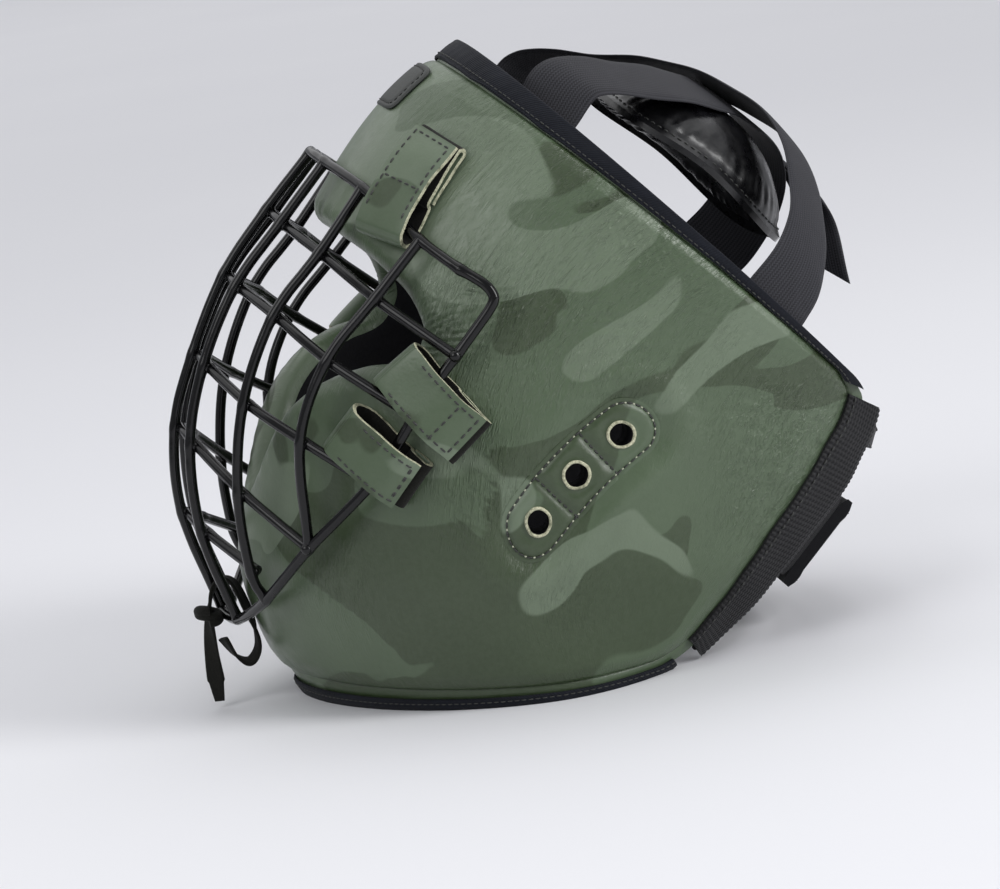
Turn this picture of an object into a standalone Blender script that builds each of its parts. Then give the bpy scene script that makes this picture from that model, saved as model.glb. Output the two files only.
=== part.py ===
"""Padded leather head guard with a welded wire face cage, resting on its jaw rim.

Every piece is modelled in the crown frame: X to the wearer's left, Y to the rear along
the crown rim, Z up out of the crown rim, with the front of the crown rim at the origin.
One empty then tips the whole guard back so that the chin and the two rear jaw corners
stand on the ground plane, and puts the origin at the middle of the footprint.
"""

import math

import bpy
import bmesh
import numpy as np

MM = 0.001

# Driving sizes of the padded shell, in millimetres and degrees
SHELL_LENGTH = 210.0        # crown rim, front edge to rear edge
HALF_WIDTH = 100.0          # half of the shell's width over the ears
HINGE_DISTANCE = 325.0      # front of the crown rim to the line where both rim planes meet
FAN_ANGLE = 49.4            # between the crown rim plane and the jaw rim plane
WALL = 16.0                 # padded wall
HEM_OUTER_DEPTH = 2.4       # how far the flat hem lies under the padded surface
HEM_THICKNESS = 5.6
HEM_WIDTH = 11.0
HEM_EDGE = 0.8              # rounding of the hem's outer edge
SWELL_WIDTH = 9.0           # from the hem to the full padding
ROLL_WIDTH = 9.0            # rounded edge round the face opening

# Clearances
CLEARANCE = 0.3             # between two pieces that touch on the real guard
SEAT = 0.4                  # between a soft strap and what it lies on

# Trim
TAPE = 1.4                  # binding tape
TAPE_ROOM = 0.5             # between the folded tape and the hem in it
CROWN_TAPE_WIDTH = 9.5
JAW_TAPE_WIDTH = 5.0
UNDERSIDE = slice(3, 7)     # points of the folded tape's outline round its fold
GROUND_BELOW_RIM = 0.35     # the jaw tape is pressed flat this far below the jaw rim
TAPE_SETTLES = 1.2          # the tape's lower side within this height comes to lie flat too
ELASTIC_ON_SHELL = 10.0
ELASTIC_BEHIND = 9.0
ELASTIC_THICKNESS = 2.0

# Ear vents
HOLE_RADIUS = 4.8
HOLE_PITCH_SHARE = 0.104    # of the fan angle, hole to hole
HOLE_MIDDLE = (0.628, 0.535)
HOLE_LEAN = 0.043           # how far each next hole up lies further back

# Wire cage
WIRE_RADIUS = 2.1
WIRE_SIDES = 6
WELD_SINK = 1.3             # how far two crossing wires run into each other

# Leather straps that hold the cage
LEATHER = 2.0
STRAP_HEM = 3.0

# Webbing and crown pad
WEBBING = 1.6
WEBBING_WIDTH = 31.0
CROWN_HEIGHT = 53.0         # crossing of the webbing above the crown rim
CROSSING_SHARE = 0.47       # of the shell's length, from the front
PAD_LENGTH = 96.0
PAD_WIDTH = 98.0
PAD_THICKNESS = 16.0
PAD_FLANGE = 2.4            # thickness of the flat seam flange round the pad
PAD_FLANGE_WIDTH = 4.0
PAD_SPOKES = 28
PAD_SQUARENESS = 0.8        # 1 is an ellipse, less is squarer
PAD_BACK = 2.0              # middle of the pad behind the webbing's crossing
PAD_DOME = (18.0, 19.0)     # fall of the pad towards its sides and its ends
TAIL_LENGTH = 62.0          # free end of the rear crown strap
TAIL_ACROSS = 12.0
TAIL_WIDTH = 22.0
TAIL = 2.4
TAIL_TURN = (0.0, -0.35, -0.25)     # how its width direction swings round towards the tip
TAIL_ROOT = 0.30            # share of HALF_WIDTH, to the right of the middle

# Bands across the back, between shares of the fan angle. They bulge behind the rear edges.
OCCIPUT_FANS = (0.075, 0.160)
CLOSURE_FANS = (0.375, 0.735)
NAPE_FANS = (0.895, 0.990)
OCCIPUT_BULGE = 19.0
CLOSURE_BULGE = 21.0
NAPE_BULGE = 16.8
SOFT_STRAP = 3.4
CLOSURE_PAD = 3.0
CLOSURE_FLAP = 4.4
PAD_INSET = 0.015           # share of the fan angle that the flap stands over the pad
BAND_END = 0.985            # share of the rear edge's half width where a band is sewn on
PAD_END = -0.35             # free end of the loop pad
FLAP_END = 0.52             # free end of the flap
FLAP_RISE = (-0.85, -0.50)  # where the flap climbs from its sewn end over the pad

# Padded sections from the crown rim (share 0) to the jaw rim (share 1) of the fan angle.
# front: distance from the hinge line, width: half width, deep: depth of the widest place
# behind the front, rear: distance of the rear edge behind the front of the crown rim,
# end: half width there. front and deep are shares of HINGE_DISTANCE, width and end of
# HALF_WIDTH, rear of SHELL_LENGTH. power is the roundness of the front.
SECTIONS = (
    # share, front, width, deep, rear, end, power
    (0.00, 1.000, 0.970, 0.345, 1.000, 0.600, 2.00),
    (0.10, 1.020, 0.980, 0.345, 1.005, 0.620, 2.00),
    (0.25, 1.034, 0.995, 0.342, 1.014, 0.660, 2.00),
    (0.40, 1.036, 1.015, 0.338, 1.024, 0.690, 2.00),
    (0.55, 1.031, 1.030, 0.332, 1.029, 0.710, 1.95),
    (0.70, 1.022, 1.025, 0.323, 1.033, 0.720, 1.85),
    (0.80, 1.024, 1.005, 0.314, 1.036, 0.720, 1.75),
    (0.90, 1.000, 0.980, 0.302, 1.038, 0.710, 1.70),
    (1.00, 0.960, 0.950, 0.292, 1.038, 0.700, 1.70),
)
FRONT_SHARE = 0.6           # of the way round, from the front middle to the widest place

# Edge of the face opening, from the brow middle to the chin middle.
# way: share of the edge, round: share of the way round the shell, fan: share of the fan
OPENING = (
    # way, round, fan
    (0.00, 0.000, 0.315),
    (0.14, 0.130, 0.315),
    (0.27, 0.245, 0.326),
    (0.37, 0.325, 0.352),
    (0.44, 0.362, 0.392),
    (0.50, 0.352, 0.432),
    (0.59, 0.285, 0.468),
    (0.70, 0.205, 0.515),
    (0.81, 0.130, 0.578),
    (0.91, 0.062, 0.668),
    (1.00, 0.000, 0.712),
)

# Columns of the shell's mesh per side along the crown rim, the rear edge and the jaw rim
CROWN_COLUMNS = 17
REAR_COLUMNS = 7
JAW_COLUMNS = 14
# Where the corners of the outer edge look across to, as shares of the opening's edge
OPENING_AT_CROWN_CORNER = 0.42
OPENING_AT_JAW_CORNER = 0.56
CORNER_ROUNDING = 0.03      # share cut off each rear corner

# Cage wires: each node is a share round the shell, a share of the fan angle and a
# distance in front of the padded surface. The rows run from the brow to the chin.
VERTICALS = {
    "middle": (
        # round, fan, ahead
        (0.000, 0.239, 11.0), (0.000, 0.331, 15.6), (0.000, 0.426, 22.0),
        (0.000, 0.532, 26.0), (0.000, 0.624, 29.0), (0.000, 0.745, 23.0),
        (0.000, 0.860, 10.5),
    ),
    "inner": (
        (0.071, 0.240, 8.6), (0.067, 0.336, 12.6), (0.062, 0.431, 20.0),
        (0.061, 0.537, 24.4), (0.062, 0.636, 25.7), (0.074, 0.757, 18.6),
        (0.087, 0.862, 9.6),
    ),
    "outer": (
        (0.191, 0.244, 7.4), (0.184, 0.347, 9.8), (0.170, 0.444, 16.7),
        (0.165, 0.561, 19.8), (0.168, 0.680, 19.0), (0.186, 0.784, 13.5),
        (0.194, 0.820, 9.6),
    ),
    "side": (
        (0.322, 0.268, 8.0), (0.306, 0.370, 10.6), (0.279, 0.472, 15.4),
        (0.268, 0.585, 17.0), (0.278, 0.737, 10.3),
    ),
}
# The last node of each row lies on the perimeter wire, apart from the lowest row's
ROW_ENDS = (
    # row, round, fan, ahead
    (0, 0.392, 0.279, 10.4),
    (1, 0.432, 0.400, 7.6),
    (2, 0.402, 0.508, 7.4),
    (3, 0.360, 0.620, 8.6),
)
# The perimeter: back from the top row round the side loop, down the cheek to the chin
PERIMETER = (
    # round, fan, ahead
    (0.392, 0.279, 10.4),
    (0.424, 0.281, 10.4),
    (0.441, 0.288, 10.2),
    (0.448, 0.302, 9.8),
    (0.444, 0.340, 8.6),
    (0.432, 0.400, 7.6),
    (0.424, 0.430, 7.4),
    (0.402, 0.508, 7.4),
    (0.360, 0.620, 8.6),
    (0.278, 0.737, 10.3),
    (0.194, 0.820, 9.6),
    (0.087, 0.862, 9.6),
    (0.000, 0.860, 10.5),
)

# Leather straps: fold is where the band turns round the wire, end where it is sewn down,
# both as a share round the shell and a share of the fan angle.
CAGE_STRAPS = {
    "temple_strap": {"fold": (0.263, 0.290), "end": (0.246, 0.128), "width": 23.0},
    "upper_cheek_strap": {"fold": (0.359, 0.440), "end": (0.478, 0.523), "width": 21.0},
    "lower_cheek_strap": {"fold": (0.307, 0.549), "end": (0.414, 0.613), "width": 20.0},
}
TAIL_LOOP = 4.2             # rise from the first layer to the second at the sewn end
FIRST_LAYER_SHARE = 0.55    # of the strap's length that the layer on the shell covers

# Webbing over the crown from a front root to the far rear root, left-hand strap.
# across: share of HALF_WIDTH, back: share of SHELL_LENGTH, up: share of CROWN_HEIGHT
CROWN_ROUTE = (
    # across, back, up
    (0.500, 0.180, 0.33),
    (0.370, 0.270, 0.62),
    (0.200, 0.370, 0.87),
    (0.000, 0.470, 1.00),
    (-0.250, 0.585, 0.98),
    (-0.490, 0.665, 0.74),
    (-0.690, 0.705, 0.38),
)
CROWN_ROOTS = (0.275, -0.765)   # places round the shell of the front and the rear root
CROSSING_LIFT = 5.0         # of the upper strap over the lower one
ROOT_BELOW = 3.2            # sewn end of a crown strap below the rim
ROOT_ABOVE = 3.0
ROOT_ROOM = 1.8             # between the inside of the binding and a sewn strap's middle
ROOT_SPREAD = 4.0           # how much wider than the strap the chord is taken

# Chin tie: a thong once round the cage's bottom wire, beside the middle vertical.
# fan: share of the fan angle, ahead: distance in front of the padded surface
THONG_WIDTH = 8.0
THONG = 1.8
THONG_ASIDE = 7.4           # middle of the thong beside the middle plane
TIE_ROUTE = (
    # fan, ahead
    (0.949, 28.0), (0.920, 24.0), (0.888, 20.0), (0.856, 16.6), (0.830, 12.6), (0.818, 8.0),
    (0.828, 3.6), (0.860, 1.5), (0.893, 1.4), (0.918, 4.0), (0.928, 9.4), (0.914, 13.2),
    (0.889, 15.0),
)

# Blank patch on the brow
PATCH_HALF_ROUND = 0.085
PATCH_FAN = (0.055, 0.135)
PATCH_THICKNESS = 1.0

COLORS = {
    "leather_green": ((0.075, 0.105, 0.066, 1.0), 0.42, 0.0),
    "tape_black": ((0.017, 0.019, 0.027, 1.0), 0.75, 0.0),
    "elastic_black": ((0.012, 0.012, 0.014, 1.0), 0.85, 0.0),
    "wire_black": ((0.010, 0.010, 0.011, 1.0), 0.22, 0.0),
    "webbing_charcoal": ((0.028, 0.028, 0.030, 1.0), 0.80, 0.0),
    "leather_black": ((0.010, 0.010, 0.012, 1.0), 0.30, 0.0),
    "hook_and_loop_black": ((0.011, 0.011, 0.013, 1.0), 0.95, 0.0),
    "thong_black": ((0.013, 0.012, 0.012, 1.0), 0.80, 0.0),
}


def smooth(x, table, column):
    """Cubic curve through one column of a table whose first column is the position."""
    rows = np.array(table)
    xs = rows[:, 0]
    ys = rows[:, column]
    slopes = np.gradient(ys, xs)
    x = np.asarray(x, float)
    i = np.clip(np.searchsorted(xs, x) - 1, 0, len(xs) - 2)
    step = xs[i + 1] - xs[i]
    u = (x - xs[i]) / step
    return ((2 * u**3 - 3 * u**2 + 1) * ys[i] + (u**3 - 2 * u**2 + u) * step * slopes[i]
            + (3 * u**2 - 2 * u**3) * ys[i + 1] + (u**3 - u**2) * step * slopes[i + 1])


def surface(way, fan):
    """Padded surface: way runs round the head from -1 at the right rear edge through 0 at
    the front middle to 1 at the left rear edge, fan from 0 at the crown rim to 1 at the
    jaw rim."""
    way, fan = np.broadcast_arrays(np.asarray(way, float), np.asarray(fan, float))
    angle = np.radians(FAN_ANGLE) * fan
    front = HINGE_DISTANCE * smooth(fan, SECTIONS, 1)
    width = HALF_WIDTH * smooth(fan, SECTIONS, 2)
    deep = HINGE_DISTANCE * smooth(fan, SECTIONS, 3)
    rear = SHELL_LENGTH * smooth(fan, SECTIONS, 4)
    end = HALF_WIDTH * smooth(fan, SECTIONS, 5)
    power = smooth(fan, SECTIONS, 6)
    last = front - (HINGE_DISTANCE - rear) / np.cos(angle)
    share = np.abs(way)
    turn = np.clip(share / FRONT_SHARE, 0, 1) * math.pi / 2
    back = np.clip((share - FRONT_SHARE) / (1 - FRONT_SHARE), 0, None)
    is_front = share < FRONT_SHARE
    across = np.where(is_front, width * np.sin(turn) ** (2 / power),
                      width - (width - end) * back**2)
    behind = np.where(is_front, deep * (1 - np.clip(np.cos(turn), 0, 1) ** (2 / power)),
                      deep + (last - deep) * back)
    reach = front - behind
    return np.stack([across * np.sign(way), HINGE_DISTANCE - reach * np.cos(angle),
                     -reach * np.sin(angle)], axis=-1)


def outward(way, fan):
    """Unit normal of the padded surface."""
    step = 1e-3
    way, fan = np.broadcast_arrays(np.asarray(way, float), np.asarray(fan, float))
    along = surface(way + step, fan) - surface(way - step, fan)
    down = surface(way, fan + step) - surface(way, fan - step)
    normal = np.cross(down, along)
    return normal / np.linalg.norm(normal, axis=-1, keepdims=True)


def lifted(way, fan, ahead):
    """Point a distance ahead of the padded surface."""
    return surface(way, fan) + np.asarray(ahead, float)[..., None] * outward(way, fan)


def unit(vectors):
    """Vectors scaled to length 1."""
    return vectors / np.linalg.norm(vectors, axis=-1, keepdims=True)


def spline(points, per_span):
    """Catmull-Rom curve through the points, per_span steps from each to the next."""
    points = np.asarray(points, float)
    ends = np.vstack([2 * points[0] - points[1], points, 2 * points[-1] - points[-2]])
    u = np.linspace(0, 1, per_span, endpoint=False)[:, None]
    spans = []
    for a, b, c, d in zip(ends, ends[1:], ends[2:], ends[3:]):
        spans.append(0.5 * (2 * b + (c - a) * u + (2 * a - 5 * b + 4 * c - d) * u**2
                            + (3 * b - a - 3 * c + d) * u**3))
    return np.vstack(spans + [points[-1:]])


def make_object(name, vertices, faces, material):
    """Object from millimetre points, in the crown frame, with its faces turned outward."""
    mesh = bpy.data.meshes.new(name)
    mesh.from_pydata([tuple(v) for v in np.asarray(vertices) * MM], [], faces)
    cleaner = bmesh.new()
    cleaner.from_mesh(mesh)
    bmesh.ops.recalc_face_normals(cleaner, faces=cleaner.faces)
    cleaner.to_mesh(mesh)
    cleaner.free()
    mesh.shade_smooth()
    mesh.set_sharp_from_angle(angle=math.radians(40))
    mesh.materials.append(material)
    item = bpy.data.objects.new(name, mesh)
    bpy.context.scene.collection.objects.link(item)
    return item


def loft(sections, closed_along=False):
    """Points and faces of a tube through rings of equal size; sections is rings x points.
    Open tubes get flat caps."""
    sections = np.asarray(sections, float)
    rings, sides = sections.shape[:2]
    faces = []
    spans = rings if closed_along else rings - 1
    for i in range(spans):
        j = (i + 1) % rings
        for k in range(sides):
            m = (k + 1) % sides
            faces.append((i * sides + k, i * sides + m, j * sides + m, j * sides + k))
    if not closed_along:
        faces.append(tuple(range(sides)))
        faces.append(tuple(range((rings - 1) * sides, rings * sides)))
    return sections.reshape(-1, 3), faces


def band(path, across, width, thickness):
    """Flat band: path is its middle line, across its width direction at each point."""
    path = np.asarray(path, float)
    across = unit(np.asarray(across, float))
    along = unit(np.gradient(path, axis=0))
    up = unit(np.cross(along, across))
    half = np.asarray(width, float).reshape(-1, 1) / 2
    rise = thickness / 2
    return np.stack([path - across * half - up * rise, path + across * half - up * rise,
                     path + across * half + up * rise, path - across * half + up * rise], axis=1)


def tube(path, radius, sides):
    """Round tube with turned rings that keep their direction along the path."""
    path = np.asarray(path, float)
    along = unit(np.gradient(path, axis=0))
    start = np.cross(along[0], [0.0, 0.0, 1.0])
    if np.linalg.norm(start) < 0.1:
        start = np.cross(along[0], [1.0, 0.0, 0.0])
    side = unit(start)
    rings = []
    for point, direction in zip(path, along):
        side = unit(side - direction * np.dot(side, direction))
        other = np.cross(direction, side)
        turns = np.linspace(0, 2 * math.pi, sides, endpoint=False)[:, None]
        rings.append(point + radius * (np.cos(turns) * side + np.sin(turns) * other))
    return np.array(rings)


def edge_columns():
    """Ways round and fan shares of the outer and inner edge for the left half's columns,
    from the front middle of the crown rim to the chin middle."""
    crown = np.linspace(0, 1, CROWN_COLUMNS, endpoint=False)
    rear = np.linspace(0, 1, REAR_COLUMNS, endpoint=False)
    jaw = np.linspace(0, 1, JAW_COLUMNS + 1)
    way = np.concatenate([crown, np.ones(REAR_COLUMNS), 1 - jaw])
    fan = np.concatenate([np.zeros(CROWN_COLUMNS), rear, np.ones(JAW_COLUMNS + 1)])
    crown_corner = CROWN_COLUMNS
    jaw_corner = CROWN_COLUMNS + REAR_COLUMNS
    way[crown_corner] -= CORNER_ROUNDING / 2
    fan[crown_corner] += CORNER_ROUNDING
    way[jaw_corner] -= CORNER_ROUNDING / 2
    fan[jaw_corner] -= CORNER_ROUNDING
    share = np.concatenate([
        crown * OPENING_AT_CROWN_CORNER,
        OPENING_AT_CROWN_CORNER + rear * (OPENING_AT_JAW_CORNER - OPENING_AT_CROWN_CORNER),
        OPENING_AT_JAW_CORNER + jaw * (1 - OPENING_AT_JAW_CORNER),
    ])
    return np.stack([way, fan, smooth(share, OPENING, 1), smooth(share, OPENING, 2)], axis=1)


def full_round():
    """Columns of the whole shell, down the left side and back up the right side."""
    left = edge_columns()
    right = left[1:-1][::-1] * np.array([-1.0, 1.0, -1.0, 1.0])
    return np.vstack([left, right])


def across_the_wall(columns, from_rim, depth):
    """Points at a distance from the outer edge and a depth under the padded surface."""
    outer = surface(columns[:, 0], columns[:, 1])
    inner = surface(columns[:, 2], columns[:, 3])
    length = np.linalg.norm(outer - inner, axis=1)
    share = np.clip(from_rim / length, 0, 1)
    way = columns[:, 0] + (columns[:, 2] - columns[:, 0]) * share
    fan = columns[:, 1] + (columns[:, 3] - columns[:, 1]) * share
    points = surface(way, fan) - depth * outward(way, fan)
    beyond = np.minimum(from_rim, 0) * np.ones(len(columns))
    inward = unit(surface(columns[:, 0] * 0.98 + columns[:, 2] * 0.02,
                          columns[:, 1] * 0.98 + columns[:, 3] * 0.02) - outer)
    return points + beyond[:, None] * inward


def lengths(columns):
    """Distance from the outer edge to the face opening at each column."""
    return np.linalg.norm(surface(columns[:, 0], columns[:, 1])
                          - surface(columns[:, 2], columns[:, 3]), axis=1)


def wall_rings(columns):
    """Closed outline of the padded wall at each column, from the rim over the outside
    to the face opening and back along the inside."""
    length = lengths(columns)
    hem_inner = HEM_OUTER_DEPTH + HEM_THICKNESS
    full = HEM_WIDTH + SWELL_WIDTH
    middle = length - full - ROLL_WIDTH
    steps = [
        (0.0, (HEM_OUTER_DEPTH + hem_inner) / 2),
        (HEM_EDGE, HEM_OUTER_DEPTH),
        (HEM_WIDTH, HEM_OUTER_DEPTH),
        (HEM_WIDTH + SWELL_WIDTH * 0.4, HEM_OUTER_DEPTH * 0.35),
        (full, 0.0),
        (full + middle * 0.25, 0.0),
        (full + middle * 0.5, 0.0),
        (full + middle * 0.75, 0.0),
        (full + middle, 0.0),
        (length - ROLL_WIDTH * 0.5, WALL * 0.10),
        (length - ROLL_WIDTH * 0.12, WALL * 0.32),
        (length, WALL * 0.55),
        (length - ROLL_WIDTH * 0.15, WALL * 0.8),
        (length - ROLL_WIDTH * 0.6, WALL * 0.97),
        (full + middle, WALL),
        (full + middle * 0.5, WALL),
        (full, WALL),
        (HEM_WIDTH, hem_inner),
        (HEM_EDGE, hem_inner),
    ]
    return np.stack([across_the_wall(columns, reach, depth) for reach, depth in steps], axis=1)


def ear_places(side):
    """Places of the three vents on one side, top to bottom."""
    return [(side * (HOLE_MIDDLE[0] - k * HOLE_LEAN), HOLE_MIDDLE[1] + k * HOLE_PITCH_SHARE)
            for k in (-1, 0, 1)]


def make_shell(material):
    """Padded wall all round, then three round vents cut through each side."""
    vertices, faces = loft(wall_rings(full_round()), closed_along=True)
    shell = make_object("shell", vertices, faces, material)
    drills = []
    for side in (1, -1):
        for way, fan in ear_places(side):
            middle = surface(way, fan)
            normal = outward(way, fan)
            ends = np.array([middle + normal * WALL, middle - normal * WALL * 2])
            drills.append(loft(tube(ends, HOLE_RADIUS, 10)))
    points = []
    polygons = []
    for more, quads in drills:
        base = len(points)
        points.extend(more)
        polygons.extend(tuple(i + base for i in quad) for quad in quads)
    cutter = make_object("vent_drills", points, polygons, material)
    cutter.hide_render = True
    cutter.display_type = "WIRE"
    cut = shell.modifiers.new("vents", "BOOLEAN")
    cut.operation = "DIFFERENCE"
    cut.solver = "EXACT"
    cut.object = cutter
    return [shell, cutter]


def folded_tape(columns, leg, thickness):
    """Outline of a binding tape folded over the hem, at each column."""
    hem_inner = HEM_OUTER_DEPTH + HEM_THICKNESS
    near = HEM_OUTER_DEPTH - TAPE_ROOM
    far = hem_inner + TAPE_ROOM
    tip = -TAPE_ROOM
    out = near - thickness
    deep = far + thickness
    outline = [
        (leg, near), (leg, out + 0.3), (leg * 0.5, out), (0.6, out),
        (tip - thickness * 0.9, out + 1.2),
        (tip - thickness, (near + far) / 2), (tip - thickness * 0.9, deep - 1.2), (0.6, deep),
        (leg, deep - 0.3), (leg, far), (0.6, far), (tip, far - 1.4), (tip, near + 1.4), (0.6, near),
    ]
    return np.stack([across_the_wall(columns, reach, depth) for reach, depth in outline], axis=1)


def flattened(points, settles=0.0):
    """Points pressed flat where they would reach below the ground that the guard rests on,
    a plane beside the jaw rim's. Those that lie less than settles above it come down to it."""
    tip = math.radians(FAN_ANGLE)
    down = np.array([0.0, math.sin(tip), -math.cos(tip)])
    rim = np.array([0.0, HINGE_DISTANCE, 0.0])
    height = GROUND_BELOW_RIM - (points - rim) @ down
    return points + np.where(height < settles, height, 0.0)[..., None] * down


def make_bindings(material):
    """Crown tape from one rear corner to the other, jaw tape likewise under the chin."""
    left = edge_columns()
    mirror = np.array([-1.0, 1.0, -1.0, 1.0])
    crown_half = left[:CROWN_COLUMNS]
    crown = np.vstack([crown_half[1:][::-1] * mirror, crown_half])
    jaw_half = left[CROWN_COLUMNS + REAR_COLUMNS + 1:]
    jaw = np.vstack([jaw_half, jaw_half[:-1][::-1] * mirror])
    crown_rings = folded_tape(crown, CROWN_TAPE_WIDTH, TAPE)
    jaw_rings = flattened(folded_tape(jaw, JAW_TAPE_WIDTH, TAPE))
    jaw_rings[:, UNDERSIDE] = flattened(jaw_rings[:, UNDERSIDE], TAPE_SETTLES)
    return [make_object("crown_binding", *loft(crown_rings), material),
            make_object("jaw_binding", *loft(jaw_rings), material)]


def rear_columns():
    """Columns of the left rear edge, between the two bindings."""
    left = edge_columns()
    return left[CROWN_COLUMNS:CROWN_COLUMNS + REAR_COLUMNS + 1]


def make_elastics(material):
    """Flat elastic strip sewn over each rear edge, standing out behind it."""
    columns = rear_columns()
    base = HEM_OUTER_DEPTH - CLEARANCE
    outline = [
        (ELASTIC_ON_SHELL, base), (ELASTIC_ON_SHELL, base - ELASTIC_THICKNESS),
        (0.0, base - ELASTIC_THICKNESS), (-ELASTIC_BEHIND, base - ELASTIC_THICKNESS),
        (-ELASTIC_BEHIND, base), (0.0, base),
    ]
    rings = flattened(np.stack([across_the_wall(columns, reach, depth)
                                for reach, depth in outline], axis=1))
    items = []
    for name, side in (("rear_elastic_left", 1.0), ("rear_elastic_right", -1.0)):
        items.append(make_object(name, *loft(rings * np.array([side, 1.0, 1.0])), material))
    return items


def wire_line(nodes, per_span):
    """Smooth wire through places given as share round, share of the fan, distance ahead."""
    nodes = np.array(nodes)
    return spline(lifted(nodes[:, 0], nodes[:, 1], nodes[:, 2]), per_span)


def mirrored(nodes):
    """The same places on the right side."""
    return [(-way, fan, ahead) for way, fan, ahead in nodes]


def cage_lines():
    """Middle lines of every wire. The rows lie behind the verticals by one wire, less the
    weld, apart from the top row, which the verticals butt against."""
    sink = 2 * WIRE_RADIUS - WELD_SINK
    lines = [wire_line(VERTICALS["middle"], 3)]
    for name in ("inner", "outer", "side"):
        lines.append(wire_line(VERTICALS[name], 3))
        lines.append(wire_line(mirrored(VERTICALS[name]), 3))
    ends = {row: (way, fan, ahead) for row, way, fan, ahead in ROW_ENDS}
    order = ("outer", "inner")
    for row in range(6):
        behind = sink if row > 0 else 0.0
        half = []
        if row < 5:
            way, fan, ahead = VERTICALS["side"][row]
            half.append((way, fan, ahead - (behind if row < 4 else 0.0)))
        for name in order:
            way, fan, ahead = VERTICALS[name][row]
            half.append((way, fan, ahead - behind))
        if row in ends:
            half.insert(0, ends[row])
        way, fan, ahead = VERTICALS["middle"][row]
        nodes = half + [(way, fan, ahead - behind)] + mirrored(half)[::-1]
        lines.append(wire_line(nodes, 2))
    rim = list(PERIMETER) + mirrored(PERIMETER[:-1])[::-1]
    lines.append(wire_line(rim, 2))
    return lines


def make_cage(material):
    """All wires welded into one solid: each next wire is joined to the ones before it."""
    pieces = []
    for number, line in enumerate(cage_lines()):
        vertices, faces = loft(tube(line, WIRE_RADIUS, WIRE_SIDES))
        pieces.append(make_object("cage" if number == 0 else f"cage_wire_{number}",
                                  vertices, faces, material))
    cage = pieces[0]
    wires = bpy.data.collections.new("cage_wires")
    bpy.context.scene.collection.children.link(wires)
    for piece in pieces[1:]:
        bpy.context.scene.collection.objects.unlink(piece)
        wires.objects.link(piece)
        piece.hide_render = True
        piece.display_type = "WIRE"
    weld = cage.modifiers.new("weld", "BOOLEAN")
    weld.operation = "UNION"
    weld.solver = "EXACT"
    weld.operand_type = "COLLECTION"
    weld.collection = wires
    return pieces


def strap_frame(spec):
    """Middle line on the shell from fold to sewn end: distance run, points, and the
    outward and width directions."""
    share = np.linspace(0, 1, 41)
    way = spec["fold"][0] + (spec["end"][0] - spec["fold"][0]) * share
    fan = spec["fold"][1] + (spec["end"][1] - spec["fold"][1]) * share
    ground = surface(way, fan)
    normal = outward(way, fan)
    along = unit(np.gradient(ground, axis=0))
    across = unit(np.cross(normal, along))
    run = np.concatenate([[0], np.cumsum(np.linalg.norm(np.diff(ground, axis=0), axis=1))])
    return run, ground, normal, along, across


def wire_under(spec):
    """Where the wires run under a strap: furthest distance from the fold and greatest
    height over the shell."""
    run, ground, normal, along, across = strap_frame(spec)
    far = []
    high = []
    for line in cage_lines():
        line = spline(line, 4)
        near = np.argmin(np.linalg.norm(line[:, None] - ground[None], axis=2), axis=1)
        offset = line - ground[near]
        reach = run[near] + np.sum(offset * along[near], axis=1)
        aside = np.abs(np.sum(offset * across[near], axis=1))
        height = np.sum(offset * normal[near], axis=1)
        under = (aside < spec["width"] / 2 + WIRE_RADIUS) & (reach > 0) & (reach < run[-1])
        far.extend(reach[under])
        high.extend(height[under])
    return max(far), max(high)


def make_cage_strap(name, spec, side, material):
    """Leather band in three layers: back along the shell, a small loop at the sewn end,
    forward under the wire, round it, and back over the top."""
    run, ground, normal, _, across = strap_frame(spec)
    total = run[-1]
    wire_far, wire_high = wire_under(spec)
    low = SEAT + LEATHER / 2
    step = LEATHER + CLEARANCE
    second = low + TAIL_LOOP
    high = wire_high + WIRE_RADIUS + CLEARANCE + LEATHER / 2
    loop = TAIL_LOOP / 2
    turn = (high - low) / 2
    bends = np.radians((30.0, 60.0, 90.0, 120.0, 150.0))
    hold = wire_far + WIRE_RADIUS
    first_end = max(total * (1 - FIRST_LAYER_SHARE), hold + LEATHER)
    layers = [(first_end, low), ((first_end + total) / 2, low), (total - loop, low)]
    layers += [(total - loop + loop * math.sin(a), low + loop - loop * math.cos(a)) for a in bends]
    layers += [(total - loop, second), ((first_end + total) / 2, second - 0.8),
               (first_end, low + step + 0.2), (first_end - LEATHER * 1.5, low), (turn + 1.0, low)]
    layers += [(turn - turn * math.sin(a), low + turn - turn * math.cos(a)) for a in bends]
    layers += [(turn, high), (hold, high), ((hold + total) / 2, max(high - 0.8, second + step)),
               (total - STRAP_HEM, max(second + step, high - 2.4)),
               (total - 1.0, max(second + step, high - 3.0))]
    steps = np.array(layers)
    place = np.stack([np.interp(steps[:, 0], run, ground[:, k]) for k in range(3)], axis=1)
    rise = np.stack([np.interp(steps[:, 0], run, normal[:, k]) for k in range(3)], axis=1)
    wide = np.stack([np.interp(steps[:, 0], run, across[:, k]) for k in range(3)], axis=1)
    rings = band(place + rise * steps[:, 1:2], wide, spec["width"], LEATHER)
    rings = rings * np.array([side, 1.0, 1.0])
    return make_object(name, *loft(rings), material)


def make_cage_straps(material):
    """Three straps a side."""
    items = []
    for name, spec in CAGE_STRAPS.items():
        for word, side in (("left", 1.0), ("right", -1.0)):
            items.append(make_cage_strap(f"{name}_{word}", spec, side, material))
    return items


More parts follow.
